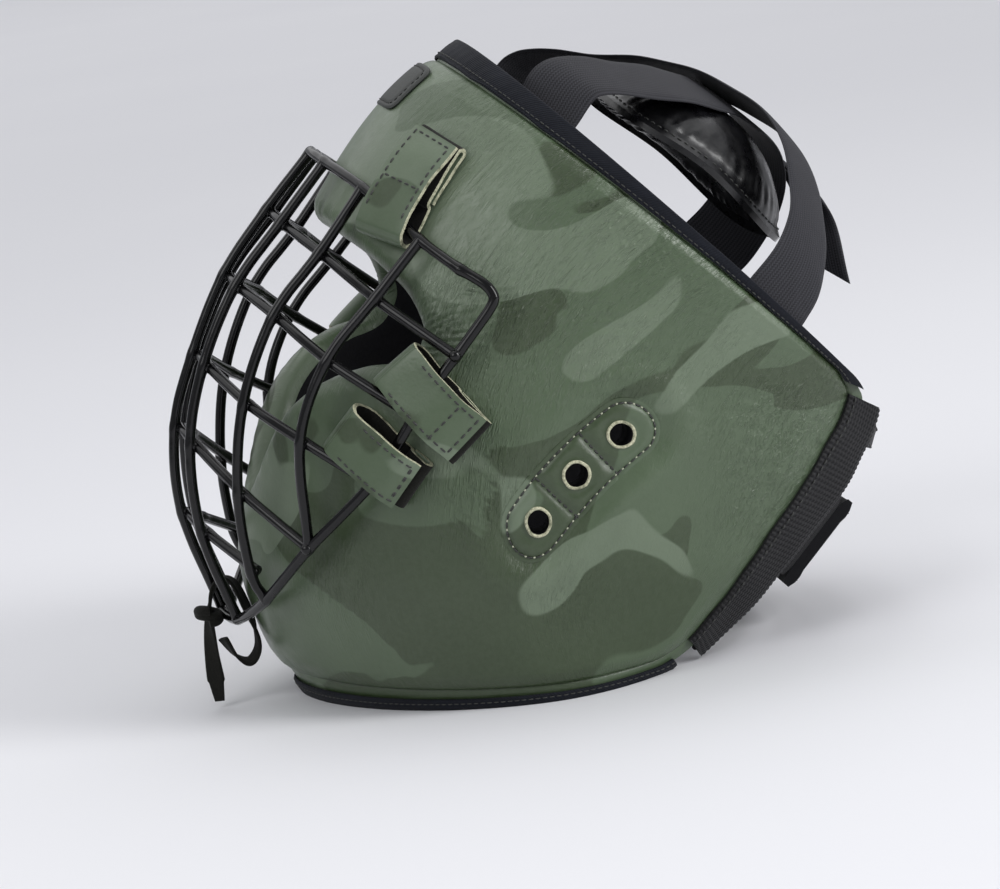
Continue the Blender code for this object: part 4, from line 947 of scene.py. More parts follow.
def elastic_grid():
    """Rings along the left rear edge: ribs across the strip every 2.1 mm of its run."""
    first = COLUMN_COUNTS[0] * FINE
    rear = fine_columns[first:first + COLUMN_COUNTS[1] * FINE + 1]
    fine = np.linspace(0, len(rear) - 1, 420)
    rear = np.stack([np.interp(fine, np.arange(len(rear)), rear[:, k]) for k in range(4)], axis=1)
    point = surface(rear[:, 0], rear[:, 1])
    run = run_along(point)
    wave = 0.35 * np.sin(run / 8.0) + 0.3 * np.sin(run / 3.3 + 2.0)
    rings, maps = [], []
    reaches = np.linspace(ELASTIC_ON_SHELL, -ELASTIC_BEHIND, 15)
    width = ELASTIC_ON_SHELL + ELASTIC_BEHIND
    for reach in reaches:
        rounded = (2 * (reach + ELASTIC_BEHIND) / width - 1) ** 12
        rib = 0.42 * (0.5 + 0.5 * np.cos(2 * math.pi * run / 2.1 + 0.4 * reach)) ** 0.7
        depth = ELASTIC_BASE - ELASTIC_THICKNESS + 0.4 + 0.7 * rounded - rib
        depth += 0.15 * np.sin(run / 5.0 + reach / 4.0)
        rings.append(across_the_wall(rear, np.full(len(run), reach) + wave * 0.5, depth)[2])
        maps.append(np.stack([run, np.full(len(run), -reach)], axis=1))
    for reach in reaches[::-2]:
        rings.append(across_the_wall(rear, np.full(len(run), reach) + wave * 0.5,
                                     np.full(len(run), ELASTIC_BASE))[2])
        maps.append(np.stack([run, np.full(len(run), reach + width)], axis=1))
    maps.append(maps[0])
    return flattened(np.stack(rings, axis=1)), np.stack(maps, axis=1), rear


def ribbed_elastic():
    """Black braided elastic with a low shine along the ribs."""
    material, tree, shader = plain_material("ribbed_elastic", 0.6, Sheen_Weight=0.03,
                                            Specular_IOR_Level=0.3)
    cloth = put(tree, "UVMap", uv_map="cloth").outputs["UV"]
    strands = put(tree, "TexWave", [("Vector", cloth), ("Scale", 1000 / 0.8 / 6.28),
                                    ("Distortion", 1.2)], bands_direction="Y").outputs["Fac"]
    place = put(tree, "TexCoord").outputs["Object"]
    fuzz = put(tree, "TexNoise", [("Vector", place), ("Scale", 1000 / 0.9), ("Detail", 3.0),
                                  ("Roughness", 0.7)]).outputs["Fac"]
    value = put(tree, "Math", [(0, strands), (1, fuzz)], operation="MULTIPLY").outputs[0]
    colour = put(tree, "Mix", [(0, value), (6, linear("#09090A")), (7, linear("#232327"))],
                 data_type="RGBA").outputs[2]
    tree.links.new(colour, shader.inputs["Base Color"])
    tree.links.new(put(tree, "Bump", [("Height", strands), ("Distance", 0.22 / 1000),
                                      ("Strength", 0.8)]).outputs["Normal"],
                   shader.inputs["Normal"])
    return material


ELASTIC = ribbed_elastic()
grid, uv, rear_run = elastic_grid()
for word, side in (("left", 1.0), ("right", -1.0)):
    strip = skin(f"rear_elastic_strip_{word}", grid * np.array([side, 1.0, 1.0]), [ELASTIC], uv,
                 round_columns=True)
    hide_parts(f"rear_elastic_{word}")
    way, fan, line = across_the_wall(rear_run, 7.6, np.full(len(rear_run), ELASTIC_BASE
                                                            - ELASTIC_THICKNESS + 0.05))
    turned = np.array([side, 1.0, 1.0])
    seam = stitches(f"rear_elastic_stitches_{word}", line * turned, outward(way, fan) * turned,
                    3.0, 2.2, 0.6, DARK_THREAD)
    for item in (strip, seam):
        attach(item, "root")


# Face cage: steel wire 4.2 mm thick, bent, butt welded at each crossing and dipped in thick
# gloss black plastic, which fills the corner of every weld into a small fillet. The rows
# pass behind the upright wires, and one perimeter wire makes the loops over the temples.
WIRE_RADIUS = 2.1
WELD_SINK = 1.3
WELD_FILLET = 0.32
WIRE_SIDES = 14
VERTICALS = {
    # share round the shell, share of the fan, distance ahead of the padded surface
    "middle": ((0.000, 0.239, 11.0), (0.000, 0.331, 15.6), (0.000, 0.426, 22.0),
               (0.000, 0.532, 26.0), (0.000, 0.624, 29.0), (0.000, 0.745, 23.0),
               (0.000, 0.860, 10.5)),
    "inner": ((0.071, 0.240, 8.6), (0.067, 0.336, 12.6), (0.062, 0.431, 20.0),
              (0.061, 0.537, 24.4), (0.062, 0.636, 25.7), (0.074, 0.757, 18.6),
              (0.087, 0.862, 9.6)),
    "outer": ((0.191, 0.244, 7.4), (0.184, 0.347, 9.8), (0.170, 0.444, 16.7),
              (0.165, 0.561, 19.8), (0.168, 0.680, 19.0), (0.186, 0.784, 13.5),
              (0.194, 0.820, 9.6)),
    "side": ((0.322, 0.268, 8.0), (0.306, 0.370, 10.6), (0.279, 0.472, 15.4),
             (0.268, 0.585, 17.0), (0.278, 0.737, 10.3))}
ROW_ENDS = ((0.392, 0.279, 10.4), (0.432, 0.400, 7.6), (0.402, 0.508, 7.4), (0.360, 0.620, 8.6))
PERIMETER = ((0.392, 0.279, 10.4), (0.424, 0.281, 10.4), (0.441, 0.288, 10.2),
             (0.448, 0.302, 9.8), (0.444, 0.340, 8.6), (0.432, 0.400, 7.6), (0.424, 0.430, 7.4),
             (0.402, 0.508, 7.4), (0.360, 0.620, 8.6), (0.278, 0.737, 10.3),
             (0.194, 0.820, 9.6), (0.087, 0.862, 9.6), (0.000, 0.860, 10.5))


def spline(points, per_span):
    """Catmull-Rom curve through the points, per_span steps from each to the next."""
    points = np.asarray(points, float)
    ends = np.vstack([2 * points[0] - points[1], points, 2 * points[-1] - points[-2]])
    u = np.linspace(0, 1, per_span, endpoint=False)[:, None]
    a, b, c, d = (ends[k:len(ends) - 3 + k, None] for k in range(4))
    curve = 0.5 * (2 * b + (c - a) * u + (2 * a - 5 * b + 4 * c - d) * u**2
                   + (3 * b - a - 3 * c + d) * u**3)
    return np.vstack([curve.reshape(-1, points.shape[1]), points[-1:]])


def tube(path, radius, sides):
    """Rings round a path; radius is one number or one for each point. Each ring's first side
    is the last one's, turned square to the path."""
    along = unit(np.gradient(path, axis=0))
    side = np.cross(along[0], [0.0, 0.0, 1.0])
    if np.linalg.norm(side) < 0.1:
        side = np.cross(along[0], [1.0, 0.0, 0.0])
    frames = []
    for direction in along:
        side = unit(side - direction * np.dot(side, direction))
        frames.append((side, np.cross(direction, side)))
    frames = np.array(frames)
    turns = np.linspace(0, 2 * math.pi, sides, endpoint=False)
    ring = (np.cos(turns)[None, :, None] * frames[:, None, 0]
            + np.sin(turns)[None, :, None] * frames[:, None, 1])
    return path[:, None] + ring * (np.ones(len(path)) * radius)[:, None, None]


def wire_line(nodes, per_span):
    """Wire through places given as share round, share of the fan, distance ahead."""
    nodes = np.array(nodes)
    return spline(lifted(nodes[:, 0], nodes[:, 1], nodes[:, 2]), per_span)


def mirrored(nodes):
    """The same places on the right side."""
    return [(-way, fan, ahead) for way, fan, ahead in nodes]


def cage_lines():
    """Middle lines of the wires, as coarse as the solids', and the places of the welds."""
    sink = 2 * WIRE_RADIUS - WELD_SINK
    lines = [wire_line(VERTICALS["middle"], 3)]
    for name in ("inner", "outer", "side"):
        lines += [wire_line(VERTICALS[name], 3), wire_line(mirrored(VERTICALS[name]), 3)]
    welds = []
    for row in range(6):
        behind = sink if row > 0 else 0.0
        half = [ROW_ENDS[row]] if row < 4 else []
        if row < 5:
            way, fan, ahead = VERTICALS["side"][row]
            half.append((way, fan, ahead - (behind if row < 4 else 0.0)))
        for name in ("outer", "inner"):
            way, fan, ahead = VERTICALS[name][row]
            half.append((way, fan, ahead - behind))
        way, fan, ahead = VERTICALS["middle"][row]
        nodes = half + [(way, fan, ahead - behind)] + mirrored(half)[::-1]
        welds += [(w, f, a + behind / 2 if row > 0 else a) for w, f, a in nodes]
        lines.append(wire_line(nodes, 2))
    lines.append(wire_line(list(PERIMETER) + mirrored(PERIMETER[:-1])[::-1], 2))
    welds += [VERTICALS[name][-1] for name in ("middle", "inner", "outer", "side")]
    welds += mirrored([VERTICALS[name][-1] for name in ("inner", "outer", "side")])
    return lines, np.array(welds)


def coated_wire():
    """Thick gloss black dip coating with a slow ripple, dulled where straps have rubbed."""
    material, tree, shader = plain_material("gloss_black_coating", 0.2, Coat_Weight=0.25,
                                            Coat_Roughness=0.06, Specular_IOR_Level=0.25)
    place = put(tree, "TexCoord").outputs["Object"]
    grain = put(tree, "TexNoise", [("Vector", place), ("Scale", 1000 / 11.0), ("Detail", 4.0),
                                   ("Roughness", 0.6)]).outputs["Fac"]
    rubbed = put(tree, "MapRange", [("Value", grain), ("From Min", 0.5), ("From Max", 0.8)],
                 interpolation_type="SMOOTHSTEP").outputs["Result"]
    tree.links.new(put(tree, "Mix", [(0, rubbed), (6, linear("#060607")), (7, linear("#121214"))],
                       data_type="RGBA").outputs[2], shader.inputs["Base Color"])
    value = put(tree, "Math", [(0, rubbed), (1, 0.2)], operation="MULTIPLY").outputs[0]
    tree.links.new(put(tree, "Math", [(0, value), (1, 0.17)], operation="ADD").outputs[0],
                   shader.inputs["Roughness"])
    grain = put(tree, "TexNoise", [("Vector", place), ("Scale", 1000 / 6.0),
                                   ("Detail", 2.0)]).outputs["Fac"]
    normal = put(tree, "Bump", [("Height", grain), ("Distance", 0.25 / 1000),
                                ("Strength", 0.5)]).outputs["Normal"]
    grain = put(tree, "TexNoise", [("Vector", place), ("Scale", 1000 / 1.1),
                                   ("Detail", 2.0)]).outputs["Fac"]
    tree.links.new(put(tree, "Bump", [("Height", grain), ("Distance", 0.03 / 1000),
                                      ("Strength", 0.4), ("Normal", normal)]).outputs["Normal"],
                   shader.inputs["Normal"])
    return material


def cage_mesh():
    """All wires as round tubes with closed ends, thickened where they near a weld."""
    lines, places = cage_lines()
    welds = lifted(places[:, 0], places[:, 1], places[:, 2])
    points, faces, base = [], [], 0
    for line in lines:
        path = spline(line, 7)
        gap = np.min(np.linalg.norm(path[:, None] - welds[None], axis=2), axis=1)
        girth = WIRE_RADIUS * (1 + 0.16 * np.exp(-(gap / 2.6) ** 2)) - 0.03
        rings = tube(path, girth, WIRE_SIDES)
        count = len(rings)
        i, j = (a.ravel() for a in np.meshgrid(np.arange(count - 1), np.arange(WIRE_SIDES),
                                               indexing="ij"))
        after = (j + 1) % WIRE_SIDES
        quads = np.stack([i * WIRE_SIDES + j, i * WIRE_SIDES + after,
                          (i + 1) * WIRE_SIDES + after, (i + 1) * WIRE_SIDES + j], axis=1)
        faces += (quads + base).tolist()
        faces.append((base + np.arange(WIRE_SIDES)).tolist())
        faces.append((base + (count - 1) * WIRE_SIDES + np.arange(WIRE_SIDES)).tolist())
        points.append(rings.reshape(-1, 3))
        base += count * WIRE_SIDES
    turns = np.linspace(0, 2 * math.pi, 10, endpoint=False)
    lifts = np.linspace(-math.pi / 2, math.pi / 2, 9)[1:-1]
    ball = np.stack([np.cos(lifts)[:, None] * np.cos(turns), np.cos(lifts)[:, None] * np.sin(turns),
                     np.broadcast_to(np.sin(lifts)[:, None], (7, 10))], axis=-1).reshape(-1, 3)
    i, j = (a.ravel() for a in np.meshgrid(np.arange(6), np.arange(10), indexing="ij"))
    quads = np.stack([i * 10 + j, i * 10 + (j + 1) % 10, (i + 1) * 10 + (j + 1) % 10,
                      (i + 1) * 10 + j], axis=1)
    for weld in welds:
        points.append(weld + ball * (WIRE_RADIUS + WELD_FILLET))
        faces += (quads + base).tolist()
        faces += [(base + np.arange(10)).tolist(), (base + 60 + np.arange(10)).tolist()]
        base += 70
    return np.vstack(points), faces


COATED = coated_wire()
points, faces = cage_mesh()
cage = make_piece("welded_wire_cage", points, faces, [COATED])
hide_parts("cage")
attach(cage, "root")


# Cage straps: bands of the shell's leather, 2 mm thick with cut edges left raw. Each lies on
# the shell, turns back in a small loop, runs forward under the wire, round it and back over
# the top, and is sewn through all its layers with a box of dark thread.
LEATHER_THICK = 2.0
SEAT = 0.4
CLEARANCE = 0.3
TAIL_LOOP = 4.2
STRAP_HEM = 3.0
FIRST_LAYER_SHARE = 0.55
CAGE_STRAPS = {
    # fold, sewn end, width, furthest wire from the fold, highest wire over the shell
    "temple_strap": ((0.263, 0.290), (0.246, 0.128), 23.0, 11.83, 6.93),
    "upper_cheek_strap": ((0.359, 0.440), (0.478, 0.523), 21.0, 20.24, 8.25),
    "lower_cheek_strap": ((0.307, 0.549), (0.414, 0.613), 20.0, 22.43, 10.78)}


def strap_path(fold, end, wire_far, wire_high):
    """Middle line of the folded band with its up and width directions: layers are distances
    from the fold and heights over the shell, joined by a smooth curve. Also gives the share
    of the line where the top layer starts."""
    share = np.linspace(0, 1, 61)
    way = fold[0] + (end[0] - fold[0]) * share
    fan = fold[1] + (end[1] - fold[1]) * share
    ground = surface(way, fan)
    normal = outward(way, fan)
    wide = unit(np.cross(normal, unit(np.gradient(ground, axis=0))))
    run = run_along(ground)
    total = run[-1]
    low = SEAT + LEATHER_THICK / 2
    step = LEATHER_THICK + CLEARANCE
    second = low + TAIL_LOOP
    high = wire_high + WIRE_RADIUS + CLEARANCE + LEATHER_THICK / 2
    loop, turn = TAIL_LOOP / 2, (high - low) / 2
    bends = np.radians((30.0, 60.0, 90.0, 120.0, 150.0))
    hold = wire_far + WIRE_RADIUS
    first_end = max(total * (1 - FIRST_LAYER_SHARE), hold + LEATHER_THICK)
    layers = [(first_end, low), ((first_end + total) / 2, low), (total - loop, low)]
    layers += [(total - loop + loop * math.sin(a), low + loop - loop * math.cos(a)) for a in bends]
    layers += [(total - loop, second), ((first_end + total) / 2, second - 0.8),
               (first_end, low + step + 0.2), (first_end - LEATHER_THICK * 1.5, low),
               (turn + 1.0, low)]
    layers += [(turn - turn * math.sin(a), low + turn - turn * math.cos(a)) for a in bends]
    top_start = len(layers)
    layers += [(turn, high), (hold, high), ((hold + total) / 2, max(high - 0.8, second + step)),
               (total - STRAP_HEM, max(second + step, high - 2.4)),
               (total - 1.0, max(second + step, high - 3.0))]
    fine = spline(np.array(layers), 7)
    place = np.stack([np.interp(fine[:, 0], run, ground[:, k]) for k in range(3)], axis=1)
    past = np.minimum(fine[:, 0], 0)[:, None] * unit(ground[1] - ground[0])
    rise = unit(np.stack([np.interp(fine[:, 0], run, normal[:, k]) for k in range(3)], axis=1))
    side = unit(np.stack([np.interp(fine[:, 0], run, wide[:, k]) for k in range(3)], axis=1))
    return place + past + rise * fine[:, 1:2], side, top_start * 7


def strap_ring(count=13):
    """Places across the band (-1 to 1) and through it (-1 under, 1 on top), and the material
    slot of each step: grain side, suede side, cut edge."""
    across = np.linspace(-1, 1, count)
    top = np.stack([across, np.ones(count)], axis=1)
    top[[0, -1], 1] = 0.80
    under = np.stack([across[::-1], -np.ones(count)], axis=1)
    under[[0, -1], 1] = -0.80
    ring = np.vstack([top, [[1.0, 0.3]], [[1.0, -0.3]], under, [[-1.0, -0.3]], [[-1.0, 0.3]]])
    slots = [0] * (count - 1) + [2] * 3 + [1] * (count - 1) + [2] * 3
    return ring, slots


def suede():
    """Black flesh side of the leather."""
    material, tree, shader = plain_material("black_suede", 0.95, Sheen_Weight=0.06,
                                            Specular_IOR_Level=0.15)
    place = put(tree, "TexCoord").outputs["Object"]
    nap = put(tree, "TexNoise", [("Vector", place), ("Scale", 1000 / 0.9), ("Detail", 4.0),
                                 ("Roughness", 0.7)]).outputs["Fac"]
    tree.links.new(put(tree, "Mix", [(0, nap), (6, linear("#0C0C0B")), (7, linear("#262622"))],
                       data_type="RGBA").outputs[2], shader.inputs["Base Color"])
    tree.links.new(put(tree, "Bump", [("Height", nap), ("Distance", 0.25 / 1000),
                                      ("Strength", 0.8)]).outputs["Normal"],
                   shader.inputs["Normal"])
    return material


def on_top(where, top_run, values):
    """Values of the top layer at places given by their run along it."""
    return np.stack([np.interp(where, top_run, values[:, k]) for k in range(3)], axis=1)


SUEDE = suede()
for name, (fold, end, width, wire_far, wire_high) in CAGE_STRAPS.items():
    path, side_way, top_start = strap_path(fold, end, wire_far, wire_high)
    along = unit(np.gradient(path, axis=0))
    up = unit(np.cross(along, side_way))
    run = run_along(path)
    ring, slots = strap_ring()
    edge = 0.22 * np.sin(run / 6.0 + width) + 0.14 * np.sin(run / 2.7)
    half = width / 2 + edge[:, None] * np.sign(ring[None, :, 0]) * (np.abs(ring[None, :, 0]) > 0.9)
    crown = 0.25 * (1 - ring[None, :, 0] ** 2) * np.sin(run / 7.0 + 1.0)[:, None] ** 2
    thick = LEATHER_THICK / 2 - 0.05
    grid = (path[:, None] + side_way[:, None] * (ring[None, :, :1] * half[..., None])
            + up[:, None] * (ring[None, :, 1] * thick + crown)[..., None])
    reach = np.concatenate([[0], np.cumsum(np.linalg.norm(np.diff(ring * [width / 2, 1.0], axis=0),
                                                          axis=1)), [2 * width + 4.0]])
    uv = np.stack(np.broadcast_arrays(run[:, None], reach[None]), axis=-1)
    top = path[top_start:] + up[top_start:] * (thick + 0.05)
    rise_way, cross_way = up[top_start:], side_way[top_start:]
    top_run = run[top_start:] - run[top_start]
    inset = width / 2 - 2.2
    first, last = 4.0, top_run[-1] - 2.4
    on = np.linspace(first, last, 60)
    end, back = np.full(40, last), on[::-1]
    over = np.linspace(inset, -inset, 40)[:, None]
    box_line = np.vstack([
        on_top(on, top_run, top) + on_top(on, top_run, cross_way) * inset,
        on_top(end, top_run, top) + on_top(end, top_run, cross_way) * over,
        on_top(back, top_run, top) - on_top(back, top_run, cross_way) * inset])
    box_up = np.vstack([on_top(where, top_run, rise_way) for where in (on, end, back)])
    crossing = np.full(40, max(wire_far + WIRE_RADIUS + 3.5, first + 6.0))
    cross_line = on_top(crossing, top_run, top) + on_top(crossing, top_run, cross_way) * over
    for word, side in (("left", 1.0), ("right", -1.0)):
        turned = np.array([side, 1.0, 1.0])
        band = skin(f"{name}_band_{word}", grid * turned, [LEATHER, SUEDE, RAW_EDGE], uv,
                    round_columns=True, slots=slots)
        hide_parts(f"{name}_{word}")
        sewn = [stitches(f"{name}_stitches_{word}", box_line * turned, box_up * turned, 3.6, 2.6,
                         0.8, DARK_THREAD),
                stitches(f"{name}_cross_stitches_{word}", cross_line * turned,
                         on_top(crossing, top_run, rise_way) * turned, 3.6, 2.6, 0.8,
                         DARK_THREAD)]
        for item in (band, *sewn):
            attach(item, "root")


# Crown straps: charcoal polyester webbing 31 mm wide and 1.6 mm thick, sewn inside the crown
# binding at a front corner and at the far rear one, crossing over the crown pad. The free
# end of the rear adjuster is folded, sewn and left loose behind the crossing.
WEBBING = 1.6
WEBBING_WIDTH = 31.0
CROWN_HEIGHT = 53.0
CROSSING_SHARE = 0.47
CROWN_ROUTE = np.array(((0.500, 0.180, 0.31), (0.370, 0.270, 0.58), (0.200, 0.370, 0.82),
                        (0.000, 0.470, 0.97), (-0.250, 0.585, 0.98), (-0.490, 0.665, 0.74),
                        (-0.690, 0.705, 0.38)))
CROWN_ROOTS = (0.275, -0.765)
CROSSING_LIFT = 4.2
ROOT_BELOW, ROOT_ABOVE, ROOT_ROOM, ROOT_SPREAD = 3.2, 3.0, 1.8, 4.0
FINER = 9                           # fine steps to each coarse step of the straps' line


def strap_root(way):
    """Middle and direction of the chord, inside the binding, where a strap is sewn."""
    depth = HEM_DEPTH + HEM_THICKNESS + TAPE_ROOM + TAPE + ROOT_ROOM + WEBBING / 2
    reach = 0.02
    rim = surface(way + reach, 0.0) - surface(way - reach, 0.0)
    half = reach * (WEBBING_WIDTH + ROOT_SPREAD) / np.linalg.norm(rim)
    ends = np.array([way - half, way + half])
    points = surface(ends, 0.0) - outward(ends, 0.0) * depth
    return points.mean(axis=0), unit(points[1] - points[0])


def crown_line():
    """Line of the left front strap with its outward and width directions, and the line that
    the right front one takes over it where the two cross."""
    over = CROWN_ROUTE * np.array([HALF_WIDTH, SHELL_LENGTH, CROWN_HEIGHT])
    front, front_across = strap_root(CROWN_ROOTS[0])
    rear, rear_across = strap_root(CROWN_ROOTS[1])
    sewn, free = np.array([0.0, 0.0, -ROOT_BELOW]), np.array([0.0, 0.0, ROOT_ABOVE])
    path = spline(np.vstack([front + sewn, front + free, over, rear + free, rear + sewn]), 4)
    centre = np.array([0.0, SHELL_LENGTH * CROSSING_SHARE, -CROWN_HEIGHT])
    out = unit(path - centre)
    across = unit(np.cross(out, unit(np.gradient(path, axis=0))))
    front_across = front_across * np.sign(np.dot(front_across, across[6]))
    rear_across = rear_across * np.sign(np.dot(rear_across, across[-7]))
    near_front = np.clip(1.6 - np.arange(len(path)) / 6.0, 0, 1)[:, None]
    near_rear = near_front[::-1]
    across = unit(across * (1 - near_front) * (1 - near_rear) + front_across * near_front
                  + rear_across * near_rear)
    spread_out = WEBBING_WIDTH * 1.5
    over_pad = np.exp(-((path[:, 0] / spread_out) ** 2
                        + ((path[:, 1] - centre[1]) / spread_out) ** 2) ** 2)
    raised = path + out * (over_pad * CROSSING_LIFT)[:, None]
    return tuple(spline(line, FINER) for line in (path, out, across, raised))


def webbing_grid(path, across, width, thick, curl=0.35, wander=0.5):
    """Flat woven band with rounded selvedges: its middle lies a little proud, and its edges
    wander and flute."""
    along = unit(np.gradient(path, axis=0))
    up = unit(np.cross(along, across))
    run = run_along(path)
    share = np.linspace(-1, 1, 17)
    top = np.stack([share, 1 - 0.75 * np.abs(share) ** 14], axis=1)
    ring = np.vstack([top, top[::-1] * [1.0, -1.0]])
    edge = wander * (np.sin(run / 17.0) * 0.5 + 0.3 * np.sin(run / 6.1 + 1.0))
    flute = 0.22 * np.sin(run / 5.0)[:, None] * ring[None, :, 0] ** 4
    bow = curl * (1 - ring[None, :, 0] ** 2) + 0 * run[:, None]
    grid = (path[:, None] + across[:, None] * (ring[None, :, :1] * (width / 2)
                                               + (edge[:, None] * 0.5)[..., None])
            + up[:, None] * (ring[None, :, 1] * (thick / 2 - 0.05) + bow + flute)[..., None])
    reach = np.concatenate([share * width / 2, share[::-1] * width / 2 + width * 1.1, [-width / 2]])
    uv = np.stack(np.broadcast_arrays(run[:, None], reach[None]), axis=-1)
    return grid, uv, up


def webbing_cloth(name, base, high, rough):
    """Herringbone polyester webbing: slanting twill floats that turn at each rib."""
    material, tree, shader = plain_material(name, rough, Sheen_Weight=0.03,
                                            Specular_IOR_Level=0.2)
    cloth = put(tree, "UVMap", uv_map="cloth").outputs["UV"]
    parts = put(tree, "SeparateXYZ", [("Vector", cloth)]).outputs
    ribs = put(tree, "Math", [(0, parts["Y"]), (1, 0.0015)], operation="PINGPONG").outputs[0]
    value = put(tree, "Math", [(0, ribs), (1, 0.75)], operation="MULTIPLY").outputs[0]
    slant = put(tree, "Math", [(0, parts["X"]), (1, value)], operation="ADD").outputs[0]
    value = put(tree, "Math", [(0, slant), (1, 2 * math.pi / 0.0011)],
                operation="MULTIPLY").outputs[0]
    floats = put(tree, "Math", [(0, value)], operation="SINE").outputs[0]
    floats = put(tree, "MapRange", [("Value", floats), ("From Min", -1.0), ("From Max", 1.0)],
                 interpolation_type="SMOOTHSTEP").outputs["Result"]
    value = put(tree, "Math", [(0, parts["Y"]), (1, 2 * math.pi / 0.0015)],
                operation="MULTIPLY").outputs[0]
    value = put(tree, "Math", [(0, value)], operation="SINE").outputs[0]
    rows = put(tree, "MapRange", [("Value", value), ("From Min", -1.0), ("From Max", 1.0)],
               interpolation_type="SMOOTHSTEP").outputs["Result"]
    value = put(tree, "Math", [(0, floats), (1, rows)], operation="ADD").outputs[0]
    weave = put(tree, "Math", [(0, value), (1, 0.5)], operation="MULTIPLY").outputs[0]
    place = put(tree, "TexCoord").outputs["Object"]
    dust = put(tree, "TexNoise", [("Vector", place), ("Scale", 1000 / 7.0), ("Detail", 4.0),
                                  ("Roughness", 0.65)]).outputs["Fac"]
    colour = put(tree, "Mix", [(0, weave), (6, linear(base)), (7, linear(high))],
                 data_type="RGBA").outputs[2]
    share = put(tree, "MapRange", [("Value", dust), ("From Min", 0.45), ("From Max", 0.85),
                                   ("To Min", 0.0), ("To Max", 0.35)],
                interpolation_type="SMOOTHSTEP").outputs["Result"]
    colour = put(tree, "Mix", [(0, share), (6, colour), (7, linear(high))],
                 data_type="RGBA").outputs[2]
    tree.links.new(colour, shader.inputs["Base Color"])
    normal = put(tree, "Bump", [("Height", weave), ("Distance", 0.12 / 1000),
                                ("Strength", 0.5)]).outputs["Normal"]
    grain = put(tree, "TexNoise", [("Vector", place), ("Scale", 1000 / 0.7),
                                   ("Detail", 2.0)]).outputs["Fac"]
    tree.links.new(put(tree, "Bump", [("Height", grain), ("Distance", 0.12 / 1000),
                                      ("Strength", 0.4), ("Normal", normal)]).outputs["Normal"],
                   shader.inputs["Normal"])
    return material


WOVEN = webbing_cloth("charcoal_webbing", "#17171A", "#38383D", 0.7)
path, out, across, raised = crown_line()
for name, line, side in (("crown_strap_left_front", path, 1.0),
                         ("crown_strap_right_front", raised, -1.0)):
    turned = np.array([side, 1.0, 1.0])
    grid, uv, up = webbing_grid(line, across, WEBBING_WIDTH, WEBBING)
    strap = skin(f"{name}_webbing", grid * turned, [WOVEN], uv, round_columns=True)
    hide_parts(name)
    sewn = []
    for number, index in enumerate((FINER, len(line) - 1 - FINER)):
        over_width = np.linspace(-WEBBING_WIDTH / 2 + 2, WEBBING_WIDTH / 2 - 2, 40)[:, None]
        row = line[index] + across[index] * over_width + up[index] * (WEBBING / 2 + 0.3)
        sewn.append(stitches(f"{name}_stitches_{number + 1}", row * turned,
                             np.repeat((up[index] * turned)[None], 40, axis=0), 2.6, 2.0, 0.7,
                             DARK_THREAD))
    for item in (strap, *sewn):
        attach(item, "root")

TAIL_LENGTH, TAIL_ACROSS, TAIL_WIDTH, TAIL = 62.0, 12.0, 22.0, 2.4
TAIL_TURN = (0.0, -0.35, -0.25)
TAIL_ROOT = 0.30
coarse, coarse_out, coarse_across = path[::FINER], out[::FINER], across[::FINER]
at = np.argmin(np.abs(coarse[:, 0] + HALF_WIDTH * TAIL_ROOT))
root = coarse[at] + coarse_out[at] * (WEBBING + SEAT)
tip = root + np.array([TAIL_ACROSS, TAIL_LENGTH * 0.83, -TAIL_LENGTH * 0.35])
low = root + np.array([TAIL_ACROSS * 0.4, TAIL_LENGTH * 0.45, -TAIL_LENGTH * 0.06])
tail_line = spline(np.array([root, low, tip]), 40)
turn = np.linspace(0, 1, len(tail_line))[:, None] * np.array(TAIL_TURN)
grid, uv, up = webbing_grid(tail_line, unit(coarse_across[at] + turn), TAIL_WIDTH, TAIL, 0.5, 0.9)
SATIN = webbing_cloth("satin_tape", "#101012", "#303035", 0.4)
tail = skin("crown_strap_tail_tape", grid, [SATIN], uv, round_columns=True)
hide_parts("crown_strap_tail")
cross_way = unit(coarse_across[at] + turn)
sewn = []
for number, index in enumerate((52, 58, 74)):
    over_width = np.linspace(-TAIL_WIDTH / 2 + 1.5, TAIL_WIDTH / 2 - 1.5, 30)[:, None]
    row = tail_line[index] + cross_way[index] * over_width + up[index] * (TAIL / 2 + 0.35)
    sewn.append(stitches(f"crown_strap_tail_stitches_{number + 1}", row,
                         np.repeat(up[index][None], 30, axis=0), 2.4, 1.8, 0.6, DARK_THREAD))
for item in (tail, *sewn):
    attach(item, "root")


# Crown pad: two panels of soft gloss black leather over thick foam, sewn together round a
# flat seam flange. The straps press it down where they cross, and the leather puckers all
# round the seam and wrinkles over its sides.
PAD_LENGTH, PAD_WIDTH, PAD_THICKNESS = 96.0, 98.0, 16.0
PAD_FLANGE, PAD_FLANGE_WIDTH = 2.4, 4.0
PAD_BACK = 2.0
PAD_DOME = (18.0, 19.0)
PAD_SQUARENESS = 0.8
PAD_SPOKES = 300


